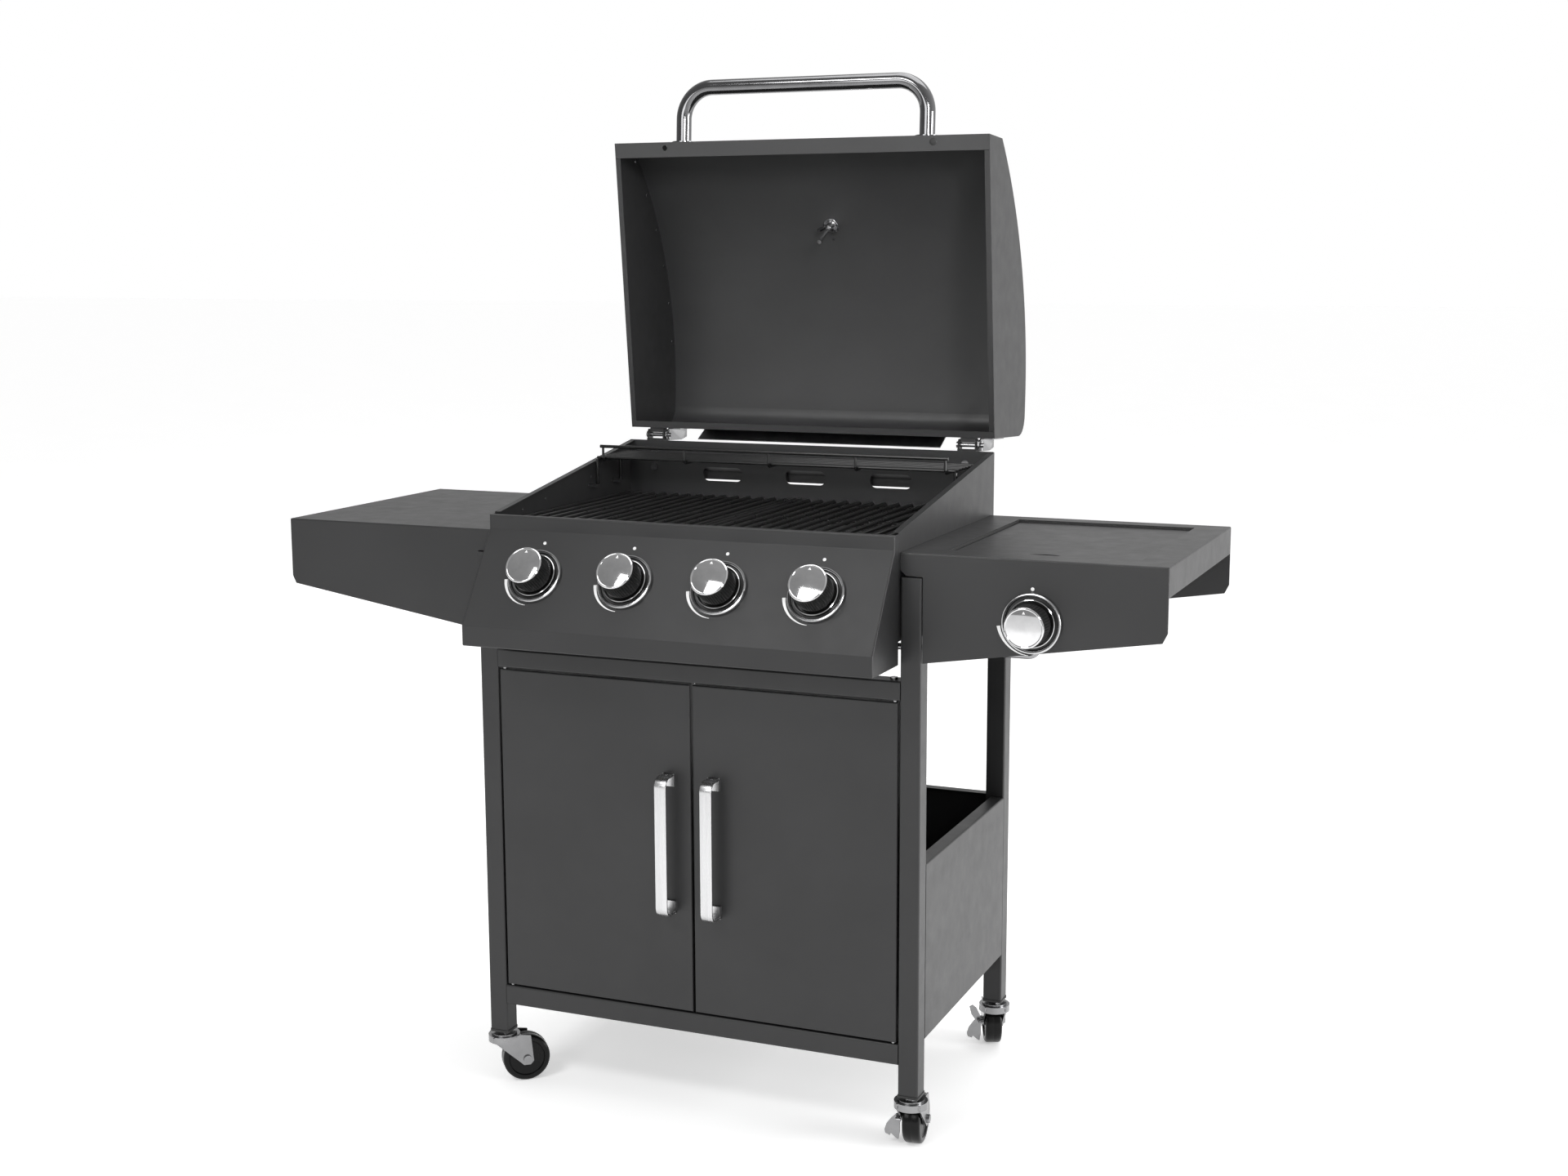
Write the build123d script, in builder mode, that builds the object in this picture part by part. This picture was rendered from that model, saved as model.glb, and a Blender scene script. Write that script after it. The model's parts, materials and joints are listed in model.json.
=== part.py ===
"""Four-burner gas barbecue cart with a side burner, standing on four swivel casters.

Frame: millimetres, +Z up, the front faces -Y. The hood is modelled open, which is its rest
position. Dimensions are laid out from the middle of the cart's four legs, and every finished
piece is then moved so that the origin lies on the floor under the middle of the whole grill.
"""
from build123d import *
import os
from math import atan2, cos, degrees, radians, sin, sqrt, tan

os.makedirs("parts", exist_ok=True)

# ---------------------------------------------------------------- driving dimensions
SHEET = 1.2                # wall of every folded sheet and tube
FOLD_R = 2.0               # outside radius of a folded edge
GAP = 0.3                  # air between neighbours that move past each other
TUBE = 26.0                # square leg tube
CART_X = 300.0             # half width over the legs
CART_Y = 189.0             # half depth over the legs
LEG_BOTTOM = 75.0
LEG_TOP = 717.0
LOW_RAIL = (113.0, 139.5)
TOP_RAIL = (568.0, 592.0)
PANEL_TOP = 364.0          # side and back panels stop here, the cart is open above them
MIDDLE_Y = 28.7            # the whole grill's middle lies this far behind the cart's middle
LEG_IN_X = CART_X - TUBE
LEG_IN_Y = CART_Y - TUBE

BOX_X = 272.0              # firebox half width
BOX_FRONT = -190.0
BOX_REAR = 190.0
BOX_BOTTOM = 640.0
RIM_FRONT = (-204.0, 768.0)
RIM_SLOPE = tan(radians(8.85))
BOX_BACK_TOP = 830.0

PANEL_KINK_TOP = (-204.0, 750.0)
PANEL_KINK_LOW = (-277.6, 638.0)
PANEL_FOOT = 612.0
KNOB_DOWN = 62.5           # knob centre, down the sloping face from its upper fold
KNOB_X = (-187.5, -62.5, 62.5, 187.5)

SHELF_TOP = 746.0
SHELF_END = 590.0
SHELF_FRONT = -186.0
SHELF_REAR = 184.0
SIDE_KNOB = (433.0, 672.5)
RECESS_X = (318.0, 549.0)
RECESS_Y = (-146.0, 154.0)
SIDE_BURNER = (433.0, 5.0)

HINGE_Y = 200.0
HINGE_Z = 837.0
HINGE_X = 232.5
HOOD_SWING = 93.1          # degrees from closed to open
HOOD_X = 271.0
HOOD_FRONT = -203.5
HOOD_ARC = (140.0, 497.0, 476.0)     # centre y, centre z and radius of the roof
HOOD_CORNER = 28.0
HOOD_RIM_GAP = 1.4

KNOB_R = 24.5
KNOB_STAND = 37.0          # knob face above its panel
PUSH = 4.0                 # knob push-in travel

WHEEL_R = 31.4
WHEEL_W = 23.0
TRAIL = 28.0
CASTERS = {                # corner sign x, corner sign y, trail direction, brake
    "front_left": (-1, -1, 40.0, False),
    "front_right": (1, -1, 96.0, True),
    "rear_left": (-1, 1, 200.0, False),
    "rear_right": (1, 1, 113.0, True),
}


# ---------------------------------------------------------------- helpers
def block(x0, x1, y0, y1, z0, z1, mode=Mode.ADD):
    """A box given by its two corners."""
    with Locations(((x0 + x1) / 2, (y0 + y1) / 2, (z0 + z1) / 2)):
        Box(x1 - x0, y1 - y0, z1 - z0, mode=mode)


def prism(plane, outline, depth, mode=Mode.ADD):
    """A closed outline drawn on a plane and pushed along its normal."""
    with BuildSketch(plane) as profile:
        with BuildLine():
            Polyline(*outline, close=True)
        make_face()
    extrude(profile.sketch, amount=depth, mode=mode)


def rod(start, end, radius, mode=Mode.ADD):
    """A straight round bar between two points."""
    path = Vector(*end) - Vector(*start)
    with BuildSketch(Plane(start, z_dir=path)) as section:
        Circle(radius)
    extrude(section.sketch, amount=path.length, mode=mode)


def bent_rod(points, bend, radius):
    """A round bar along straight runs joined by bends."""
    with BuildLine() as route:
        FilletPolyline(*points, radius=bend)
    with BuildSketch(Plane(route.line @ 0, z_dir=route.line % 0)) as section:
        Circle(radius)
    sweep(section.sketch, path=route.line)


def tube_section(plane, width, height, length):
    """A rounded square tube, open at both ends, centred on the plane's origin."""
    with BuildSketch(plane) as profile:
        RectangleRounded(width, height, 2.4)
        RectangleRounded(width - 2 * SHEET, height - 2 * SHEET, 1.2, mode=Mode.SUBTRACT)
    extrude(profile.sketch, amount=length)


def rim_height(y):
    """Height of the sloping top edge of the firebox walls."""
    return RIM_FRONT[1] + (y - RIM_FRONT[0]) * RIM_SLOPE


def opened(y, z):
    """A point of the closed hood, turned back about its hinge to the open position."""
    swing = radians(HOOD_SWING)
    dy, dz = y - HINGE_Y, z - HINGE_Z
    return (HINGE_Y + dy * cos(swing) + dz * sin(swing), HINGE_Z - dy * sin(swing) + dz * cos(swing))


def opened_all(points):
    return [opened(y, z) for y, z in points]


def finish(part, name):
    """Move a piece to the grill's own origin, label it and write it."""
    placed = part.moved(Location((0, -MIDDLE_Y, 0)))
    placed.label = name
    export_step(placed, f"parts/{name}.step")


# the sloping control face: origin at a knob's centre, Z out of the face, Y up the face
FACE_DOWN = (PANEL_KINK_LOW[0] - PANEL_KINK_TOP[0], PANEL_KINK_LOW[1] - PANEL_KINK_TOP[1])
FACE_LENGTH = sqrt(FACE_DOWN[0] ** 2 + FACE_DOWN[1] ** 2)
DOWN = (FACE_DOWN[0] / FACE_LENGTH, FACE_DOWN[1] / FACE_LENGTH)
OUT = (DOWN[1], -DOWN[0])


def knob_plane(x):
    """Plane of a control knob on the sloping face."""
    y = PANEL_KINK_TOP[0] + DOWN[0] * KNOB_DOWN
    z = PANEL_KINK_TOP[1] + DOWN[1] * KNOB_DOWN
    return Plane((x, y, z), x_dir=(1, 0, 0), z_dir=(0, OUT[0], OUT[1]))


KNOB_PLANES = {f"{i + 1}": knob_plane(x) for i, x in enumerate(KNOB_X)}
KNOB_PLANES["side"] = Plane((SIDE_KNOB[0], SHELF_FRONT, SIDE_KNOB[1]), x_dir=(1, 0, 0), z_dir=(0, -1, 0))

# ---------------------------------------------------------------- cart frame
for name, side_y in (("front_legs", -1), ("rear_legs", 1)):
    with BuildPart() as legs:
        for side_x in (-1, 1):
            centre = (side_x * (CART_X - TUBE / 2), side_y * (CART_Y - TUBE / 2), LEG_BOTTOM)
            tube_section(Plane(centre), TUBE, TUBE, LEG_TOP - LEG_BOTTOM)
            cap = (centre[0], centre[1], LEG_TOP - 1.6)
            with BuildSketch(Plane(cap)) as lid_plate:
                RectangleRounded(TUBE - 2 * SHEET, TUBE - 2 * SHEET, 1.2)
            extrude(lid_plate.sketch, amount=1.6)
            # hole for the shelf bolt, through the outer wall
            for bolt_z in (662.0, 700.0):
                rod((side_x * (CART_X + 1), centre[1], bolt_z), (side_x * (CART_X - 3), centre[1], bolt_z),
                    3.2, mode=Mode.SUBTRACT)
    finish(legs.part, name)

with BuildPart() as plugs:
    for side_x in (-1, 1):
        for side_y in (-1, 1):
            centre = (side_x * (CART_X - TUBE / 2), side_y * (CART_Y - TUBE / 2))
            with BuildSketch(Plane((*centre, LEG_BOTTOM - 3))) as flange:
                RectangleRounded(TUBE + 1.6, TUBE + 1.6, 3.0)
            extrude(flange.sketch, amount=3)
            with BuildSketch(Plane((*centre, LEG_BOTTOM))) as body:
                RectangleRounded(TUBE - 2 * SHEET - 0.4, TUBE - 2 * SHEET - 0.4, 1.0)
            extrude(body.sketch, amount=24)
            rod((*centre, LEG_BOTTOM - 4), (*centre, LEG_BOTTOM + 25), 4.2, mode=Mode.SUBTRACT)
finish(plugs.part, "leg_plugs")

for name, (rail_low, rail_high) in (("front_bottom_rail", LOW_RAIL), ("front_top_rail", TOP_RAIL)):
    with BuildPart() as rail:
        middle = (-LEG_IN_X, -CART_Y + TUBE / 2, (rail_low + rail_high) / 2)
        tube_section(Plane(middle, x_dir=(0, 1, 0), z_dir=(1, 0, 0)), TUBE, rail_high - rail_low, 2 * LEG_IN_X)
        if name == "front_top_rail":
            # two catches behind the doors' free edges
            for side_x in (-1, 1):
                block(side_x * 34 - 14, side_x * 34 + 14, -CART_Y + TUBE, -CART_Y + TUBE + 9,
                      TOP_RAIL[0] + 1, TOP_RAIL[0] + 13)
    finish(rail.part, name)

with BuildPart() as bottom_shelf:
    block(-LEG_IN_X, LEG_IN_X, -LEG_IN_Y, CART_Y, LOW_RAIL[1] - 22, LOW_RAIL[1])
    block(-LEG_IN_X + SHEET, LEG_IN_X - SHEET, -LEG_IN_Y + SHEET, CART_Y - SHEET,
          LOW_RAIL[1] - 23, LOW_RAIL[1] - SHEET, mode=Mode.SUBTRACT)
    # pressed ring that keeps a gas bottle in place
    with BuildSketch(Plane.XY.offset(LOW_RAIL[1])) as ring:
        Circle(118)
        Circle(112, mode=Mode.SUBTRACT)
    extrude(ring.sketch, amount=3)
    # holes that let rain out
    with BuildSketch(Plane.XY.offset(LOW_RAIL[1] - SHEET - 1)) as drains:
        with GridLocations(440, 280, 2, 2):
            Circle(5)
    extrude(drains.sketch, amount=SHEET + 2, mode=Mode.SUBTRACT)
finish(bottom_shelf.part, "bottom_shelf")

with BuildPart() as side_panels:
    for side in (-1, 1):
        outer, inner = side * CART_X, side * (CART_X - 18)
        low, high = sorted((outer, inner))
        block(low, high, -LEG_IN_Y, LEG_IN_Y, 141, PANEL_TOP)
    fillet(side_panels.edges().filter_by(Axis.Y).filter_by(lambda e: abs(abs(e.center().X) - CART_X) < 0.1), FOLD_R)
    for side in (-1, 1):
        cut_low, cut_high = sorted((side * (CART_X - SHEET), side * (CART_X - 19)))
        block(cut_low, cut_high, -LEG_IN_Y + SHEET, LEG_IN_Y - SHEET, 141 + SHEET, PANEL_TOP - SHEET,
              mode=Mode.SUBTRACT)
finish(side_panels.part, "side_panels")

with BuildPart() as back_panel:
    block(-LEG_IN_X, LEG_IN_X, CART_Y - 14, CART_Y, LOW_RAIL[1], PANEL_TOP)
    block(-LEG_IN_X + SHEET, LEG_IN_X - SHEET, CART_Y - 15, CART_Y - SHEET,
          LOW_RAIL[1] + SHEET, PANEL_TOP - SHEET, mode=Mode.SUBTRACT)
finish(back_panel.part, "back_panel")

# ---------------------------------------------------------------- firebox
RACK_FRONT, RACK_PITCH, RACK_WIRES = 64.0, 13.8, 7
RACK_WIRE_Y = [RACK_FRONT + RACK_PITCH * i for i in range(RACK_WIRES)]
RACK_LEG_Y = (RACK_WIRE_Y[0], RACK_WIRE_Y[5])
RACK_SEAT = 779.0
with BuildPart() as side_walls:
    for side in (-1, 1):
        plane = Plane.YZ.offset(BOX_X - SHEET if side > 0 else -BOX_X)
        outline = [(BOX_FRONT, BOX_BOTTOM), (BOX_REAR, BOX_BOTTOM), (BOX_REAR, rim_height(BOX_REAR)),
                   (BOX_FRONT, rim_height(BOX_FRONT))]
        prism(plane, outline, SHEET)
        # rim folded inward along the sloping edge
        fold_y0, fold_y1 = BOX_FRONT + 1, BOX_REAR - SHEET - 0.2
        rim = [(fold_y0, rim_height(fold_y0)), (fold_y1, rim_height(fold_y1)),
               (fold_y1, rim_height(fold_y1) - SHEET), (fold_y0, rim_height(fold_y0) - SHEET)]
        prism(Plane.YZ.offset(BOX_X - 8 if side > 0 else -BOX_X + SHEET), rim, 8 - SHEET)
        # seats for the legs of the warming rack
        for leg_y in RACK_LEG_Y:
            x0, x1 = sorted((side * (BOX_X - SHEET), side * 257.0))
            block(x0, x1, leg_y - 5, leg_y + 5, RACK_SEAT - 4, RACK_SEAT)
        # flange at the foot that the floor rests on
        x0, x1 = sorted((side * (BOX_X - SHEET), side * (BOX_X - 14)))
        block(x0, x1, BOX_FRONT + SHEET + 0.2, BOX_REAR - SHEET - 0.2, BOX_BOTTOM, BOX_BOTTOM + SHEET)
finish(side_walls.part, "firebox_side_walls")

NOZZLE_Z = 684.0
with BuildPart() as front_wall:
    block(-BOX_X + SHEET, BOX_X - SHEET, BOX_FRONT, BOX_FRONT + SHEET, BOX_BOTTOM, 766.4)
    block(-BOX_X + SHEET + 1, BOX_X - SHEET - 1, BOX_FRONT - 5, BOX_FRONT + SHEET, 765.2, 766.4)
    for x in KNOB_X:
        rod((x, BOX_FRONT - 2, NOZZLE_Z), (x, BOX_FRONT + 4, NOZZLE_Z), 9, mode=Mode.SUBTRACT)
finish(front_wall.part, "firebox_front_wall")

VENT = (60.5, 19.5, 775.0)  # width, height and lower edge of a louvred vent
LOUVRE_LIP = 776.4         # lower edge of the louvre, behind the vent
VENT_X = (-126.0, 0.0, 126.0)
with BuildPart() as rear_wall:
    block(-BOX_X + SHEET, BOX_X - SHEET, BOX_REAR - SHEET, BOX_REAR, BOX_BOTTOM, BOX_BACK_TOP)
    for x in VENT_X:
        with BuildSketch(Plane.XZ.offset(-BOX_REAR - 1)) as vent:
            with Locations((x, VENT[2] + VENT[1] / 2)):
                Rectangle(VENT[0], VENT[1])
            fillet(vent.vertices().group_by(Axis.Z)[-1], 9)
        extrude(vent.sketch, amount=3, mode=Mode.SUBTRACT)
        # louvre pressed out behind the vent, open at its lower edge
        vent_top = VENT[2] + VENT[1]
        hood_in = [(BOX_REAR, vent_top), (BOX_REAR + 8, vent_top - 7), (BOX_REAR + 8, LOUVRE_LIP),
                   (BOX_REAR, LOUVRE_LIP)]
        hood_out = [(BOX_REAR, vent_top + 1.6), (BOX_REAR + 8 + SHEET, vent_top - 6.4),
                    (BOX_REAR + 8 + SHEET, LOUVRE_LIP), (BOX_REAR, LOUVRE_LIP)]
        prism(Plane.YZ.offset(x - VENT[0] / 2 - SHEET), hood_out, VENT[0] + 2 * SHEET)
        prism(Plane.YZ.offset(x - VENT[0] / 2), hood_in, VENT[0], mode=Mode.SUBTRACT)
    for side in (-1, 1):
        for bolt_z in (792.0, 812.0):
            rod((side * HINGE_X, BOX_REAR - 3, bolt_z), (side * HINGE_X, BOX_REAR + 3, bolt_z), 3.2,
                mode=Mode.SUBTRACT)
finish(rear_wall.part, "firebox_rear_wall")

TRAY_HALF = 70.0
with BuildPart() as floor_pan:
    edge_x, edge_z, flat_x, flat_z = BOX_X - SHEET - 0.4, 656.0, TRAY_HALF + 9, BOX_BOTTOM + SHEET + 0.4
    top = [(-edge_x, edge_z), (-flat_x, flat_z), (flat_x, flat_z), (edge_x, edge_z)]
    under = [(x, z + SHEET) for x, z in reversed(top)]
    prism(Plane.XZ.offset(SHEET + 0.4 - BOX_REAR), top + under, 2 * (BOX_REAR - SHEET - 0.4))
    block(-60, 60, -120, 120, BOX_BOTTOM, BOX_BOTTOM + 4, mode=Mode.SUBTRACT)
    for side in (-1, 1):
        # hangers that carry the grease tray
        x0, x1 = sorted((side * flat_x, side * (flat_x - SHEET)))
        block(x0, x1, -150, 186, 616, flat_z + SHEET / 2)
        x0, x1 = sorted((side * flat_x, side * (TRAY_HALF + 1)))
        block(x0, x1, -150, 186, 616, 616 + SHEET)
finish(floor_pan.part, "firebox_floor")

with BuildPart() as grease_tray:
    tray_low, tray_high = 606.0, 616 + SHEET + GAP
    block(-TRAY_HALF, TRAY_HALF, -146, 184, tray_low, tray_high + SHEET)
    block(-TRAY_HALF - 7, TRAY_HALF + 7, -146, 184, tray_high, tray_high + SHEET)
    block(-TRAY_HALF + SHEET, TRAY_HALF - SHEET, -146 + SHEET, 184 - SHEET, tray_low + SHEET, tray_high + 2,
          mode=Mode.SUBTRACT)
    # pull at the back
    block(-28, 28, 184, 206, tray_high, tray_high + SHEET)
    block(-28, 28, 206 - SHEET, 206, tray_high - 10, tray_high)
finish(grease_tray.part, "grease_tray")

BURNER_Z = 690.0
with BuildPart() as burners:
    for x in KNOB_X:
        rod((x, BOX_FRONT + SHEET + 1, BURNER_Z), (x, 160, BURNER_Z), 13)
        rod((x, BOX_FRONT + SHEET, BURNER_Z), (x, 158, BURNER_Z), 12, mode=Mode.SUBTRACT)
        # air slot near the mouth and a foot at the far end
        block(x - 4, x + 4, -176, -160, BURNER_Z + 9, BURNER_Z + 15, mode=Mode.SUBTRACT)
        block(x - 15, x + 15, 160, 162, BURNER_Z - 26, BURNER_Z + 14)
finish(burners.part, "burners")

with BuildPart() as tamers:
    for x in KNOB_X:
        ridge = [(x - 42, 712), (x - 42, 706), (x - 40.8, 706), (x - 40.8, 711.2), (x, 731.2),
                 (x + 40.8, 711.2), (x + 40.8, 706), (x + 42, 706), (x + 42, 712), (x, 732.6)]
        prism(Plane.XZ.offset(-165), ridge, 330)
        for slot_y in range(-120, 121, 40):
            for side in (-1, 1):
                block(x + side * 22 - 3, x + side * 22 + 3, slot_y - 12, slot_y + 12, 700, 740,
                      mode=Mode.SUBTRACT)
finish(tamers.part, "flame_tamers")

BAR_R = 2.75
BAR_Z = 757.2
BAR_PITCH = 18.65
BAR_FIRST = 16.3
BARS = 14
GRATE_FRONT, GRATE_REAR = -184.0, 162.0
with BuildPart() as grates:
    for side in (-1, 1):
        for i in range(BARS):
            x = side * (BAR_FIRST + BAR_PITCH * i)
            bent_rod([(x, GRATE_FRONT, BAR_Z - 9), (x, GRATE_FRONT, BAR_Z), (x, GRATE_REAR, BAR_Z),
                      (x, GRATE_REAR, BAR_Z - 9)], 4.0, BAR_R)
        x_in, x_out = side * 4.6, side * (BAR_FIRST + BAR_PITCH * (BARS - 1))
        rod((x_in, GRATE_FRONT, BAR_Z), (x_in, GRATE_REAR, BAR_Z), BAR_R)
        x0, x1 = sorted((x_in - side * 2.4, x_out + side * 2.4))
        for cross_y in (-176, -11, 154):
            rod((x0, cross_y, BAR_Z - 4.6), (x1, cross_y, BAR_Z - 4.6), BAR_R)
finish(grates.part, "cooking_grates")

RACK_RAIL_Y = 58.5
RACK_Z = 816.0
RAIL_Z = 832.0
RACK_X = 246.5
RACK_END = 258.2
with BuildPart() as rack:
    for y in RACK_WIRE_Y:
        rod((-RACK_END, y, RACK_Z), (RACK_END, y, RACK_Z), 1.9)
    for i in range(-2, 3):
        x = i * RACK_X / 2
        # cross wire under the others, curled up at the front to hold the guard rail
        bent_rod([(x, RACK_WIRE_Y[-1] + 3, RACK_Z - 3.2), (x, RACK_RAIL_Y, RACK_Z - 3.2),
                  (x, RACK_RAIL_Y, RAIL_Z)], 4.5, 1.7)
    rod((-RACK_X - 4, RACK_RAIL_Y, RAIL_Z), (RACK_X + 4, RACK_RAIL_Y, RAIL_Z), 2.2)
    for side in (-1, 1):
        for leg_y in RACK_LEG_Y:
            rod((side * 258.6, leg_y, RACK_SEAT + 0.2), (side * 258.6, leg_y, RACK_Z - 1.95), 2.5)
finish(rack.part, "warming_rack")

# ---------------------------------------------------------------- control panel and gas train
with BuildPart() as control_panel:
    outer = [RIM_FRONT, PANEL_KINK_TOP, PANEL_KINK_LOW, (PANEL_KINK_LOW[0], PANEL_FOOT),
             (BOX_FRONT - GAP, PANEL_FOOT - 1), (BOX_FRONT - GAP, RIM_FRONT[1])]
    prism(Plane.YZ.offset(-BOX_X), outer, 2 * BOX_X)
    fillet(control_panel.edges().filter_by(lambda e: e.center().Y < -200.0), FOLD_R)
    in_top = RIM_FRONT[1] - SHEET
    inner = [(RIM_FRONT[0] + SHEET, in_top), (RIM_FRONT[0] + SHEET, PANEL_KINK_TOP[1] + 0.36),
             (PANEL_KINK_LOW[0] + SHEET, PANEL_KINK_LOW[1] + 0.36),
             (PANEL_KINK_LOW[0] + SHEET, PANEL_FOOT + SHEET), (BOX_FRONT + 1, PANEL_FOOT + SHEET),
             (BOX_FRONT + 1, in_top)]
    prism(Plane.YZ.offset(-BOX_X + SHEET), inner, 2 * (BOX_X - SHEET), mode=Mode.SUBTRACT)
    block(-BOX_X + 10, BOX_X - 10, PANEL_KINK_LOW[0] + 14, BOX_FRONT + 1, PANEL_FOOT - 5, PANEL_FOOT + 5,
          mode=Mode.SUBTRACT)
    block(-BOX_X + SHEET, BOX_X - SHEET, RIM_FRONT[0] + 7, BOX_FRONT + 1, in_top - 1, in_top + 3,
          mode=Mode.SUBTRACT)
    for key in ("1", "2", "3", "4"):
        with BuildSketch(KNOB_PLANES[key].offset(-4)) as hole:
            Circle(7)
        extrude(hole.sketch, amount=8, mode=Mode.SUBTRACT)
finish(control_panel.part, "control_panel")

with BuildPart() as bezels:
    for plane in KNOB_PLANES.values():
        with BuildSketch(Plane(plane.origin, x_dir=plane.x_dir, z_dir=plane.y_dir)) as half:
            # cup section: outer roll, groove and inner roll round the knob
            with BuildLine():
                Polyline((7, -0.1), (36, -0.1), (36, -3), (34.6, -5.6), (32.4, -5.6), (31, -4), (31, -1.6),
                         (28.2, -1.6), (28.2, -6.5), (25.8, -6.5), (25.8, -1.6), (7, -1.6), close=True)
            make_face()
        revolve(half.sketch, axis=Axis(plane.origin, plane.z_dir))
finish(bezels.part, "knob_bezels")

STEM_R = 4.0
for key, plane in KNOB_PLANES.items():
    with BuildPart() as stem:
        with BuildSketch(plane.offset(-28)) as section:
            Circle(STEM_R)
        extrude(section.sketch, amount=28 + 22)
    finish(stem.part, f"valve_stem_{key}")

    with BuildPart() as knob:
        with BuildSketch(plane.offset(6.2)) as section:
            Circle(KNOB_R)
        extrude(section.sketch, amount=KNOB_STAND - 6.2 - 3)
        with BuildSketch(plane.offset(KNOB_STAND - 3)) as face:
            Circle(KNOB_R - 0.7)
        extrude(face.sketch, amount=3)
        with BuildSketch(plane.offset(KNOB_STAND - 0.9)) as dish:
            Circle(KNOB_R - 2.0)
        extrude(dish.sketch, amount=2, mode=Mode.SUBTRACT)
        with BuildSketch(plane.offset(5)) as socket:
            Circle(STEM_R + 0.05)
        extrude(socket.sketch, amount=22 - 5 + 0.4, mode=Mode.SUBTRACT)
        # grip flutes round the side
        with BuildSketch(plane.offset(9)) as flutes:
            with PolarLocations(KNOB_R + 0.2, 30):
                Circle(0.9)
        extrude(flutes.sketch, amount=KNOB_STAND - 15, mode=Mode.SUBTRACT)
    finish(knob.part, f"knob_{key}")

MANIFOLD = (-200.0, 668.0)
PIPE_Z = 628.0
with BuildPart() as valves:
    for key, plane in KNOB_PLANES.items():
        with BuildSketch(plane.offset(-38)) as body:
            RectangleRounded(24, 24, 3)
        extrude(body.sketch, amount=25)
        with BuildSketch(plane.offset(-34)) as bore:
            Circle(STEM_R + 0.05)
        extrude(bore.sketch, amount=24, mode=Mode.SUBTRACT)
        if key != "side":
            # tail into the manifold and nozzle towards the burner
            with BuildSketch(plane.offset(-45)) as tail:
                Circle(5)
            extrude(tail.sketch, amount=8)
            x = plane.origin.X
            rod((x, -206, NOZZLE_Z), (x, BOX_FRONT + 8, NOZZLE_Z), 4)
    # saddles where the valves sit on the manifold
    rod((-256, *MANIFOLD), (256, *MANIFOLD), 8.05, mode=Mode.SUBTRACT)
finish(valves.part, "gas_valves")

with BuildPart() as manifold:
    rod((-256, *MANIFOLD), (256, *MANIFOLD), 8)
    rod((-254, *MANIFOLD), (254, *MANIFOLD), 6.6, mode=Mode.SUBTRACT)
    # branch under the firebox to the side burner's valve
    bent_rod([(250, MANIFOLD[0], MANIFOLD[1] - 7), (250, MANIFOLD[0], PIPE_Z), (250, -156, PIPE_Z),
              (SIDE_KNOB[0], -156, PIPE_Z), (SIDE_KNOB[0], -156, SIDE_KNOB[1] - 12)], 12, 4)
    # supply pipe to the inlet under the other shelf
    bent_rod([(-250, MANIFOLD[0], MANIFOLD[1] - 7), (-250, MANIFOLD[0], PIPE_Z), (-250, -140, PIPE_Z),
              (-334, -140, PIPE_Z)], 12, 5)
    with BuildSketch(Plane((-330, -140, PIPE_Z), x_dir=(0, 1, 0), z_dir=(-1, 0, 0))) as nut:
        RegularPolygon(11, 6)
    extrude(nut.sketch, amount=12)
    rod((-340, -140, PIPE_Z), (-372, -140, PIPE_Z), 5)
finish(manifold.part, "gas_manifold")

# ---------------------------------------------------------------- side shelves
def shelf_shell(side):
    """Folded shelf: flat top, deep tapering skirts front and back, shallow outer end."""
    def skirt(y0):
        pts = [(BOX_X + 0.5, SHELF_TOP), (BOX_X + 0.5, LEG_TOP + 8), (BOX_X + 8, LEG_TOP + 1.5),
               (CART_X + 0.6, LEG_TOP + 1.0), (CART_X + 0.6, 615), (584, 659), (SHELF_END, 671),
               (SHELF_END, SHELF_TOP)]
        pts = [(side * x, z) for x, z in pts]
        prism(Plane.XZ.offset(-y0), pts, SHEET)
    top_x0, top_x1 = sorted((side * (BOX_X + 0.5), side * SHELF_END))
    block(top_x0, top_x1, SHELF_FRONT, SHELF_REAR, SHELF_TOP - SHEET, SHELF_TOP)
    skirt(SHELF_FRONT + SHEET)
    skirt(SHELF_REAR)
    end_x0, end_x1 = sorted((side * (SHELF_END - SHEET), side * SHELF_END))
    block(end_x0, end_x1, SHELF_FRONT, SHELF_REAR, 711, SHELF_TOP)
    # inner flange bolted to the outer faces of the legs
    in_x0, in_x1 = sorted((side * (CART_X + 0.0), side * (CART_X + 1.6)))
    block(in_x0, in_x1, SHELF_FRONT + SHEET, SHELF_REAR - SHEET, 648, SHELF_TOP - SHEET)
    for leg_y in (-1, 1):
        for bolt_z in (662.0, 700.0):
            y = leg_y * (CART_Y - TUBE / 2)
            rod((side * (CART_X - 1), y, bolt_z), (side * (CART_X + 4), y, bolt_z), 3.2, mode=Mode.SUBTRACT)


def shelf_folds(shelf, side):
    """Outside edges of a shelf that are bent, not cut."""
    def bent(edge):
        middle = edge.center()
        top = abs(middle.Z - SHELF_TOP) < 0.1 and (abs(middle.Y - SHELF_FRONT) < 0.1
                                                   or abs(middle.Y - SHELF_REAR) < 0.1
                                                   or abs(middle.X - side * SHELF_END) < 0.1)
        corner = abs(middle.X - side * SHELF_END) < 0.1 and abs(edge.bounding_box().size.Z - edge.length) < 0.1
        return top or (corner and edge.length > 30 and abs(abs(middle.Y + 1) - 185) < 0.2)
    return shelf.edges().filter_by(bent)


with BuildPart() as left_shelf:
    shelf_shell(-1)
    fillet(shelf_folds(left_shelf, -1), FOLD_R)
finish(left_shelf.part, "left_shelf")

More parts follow.
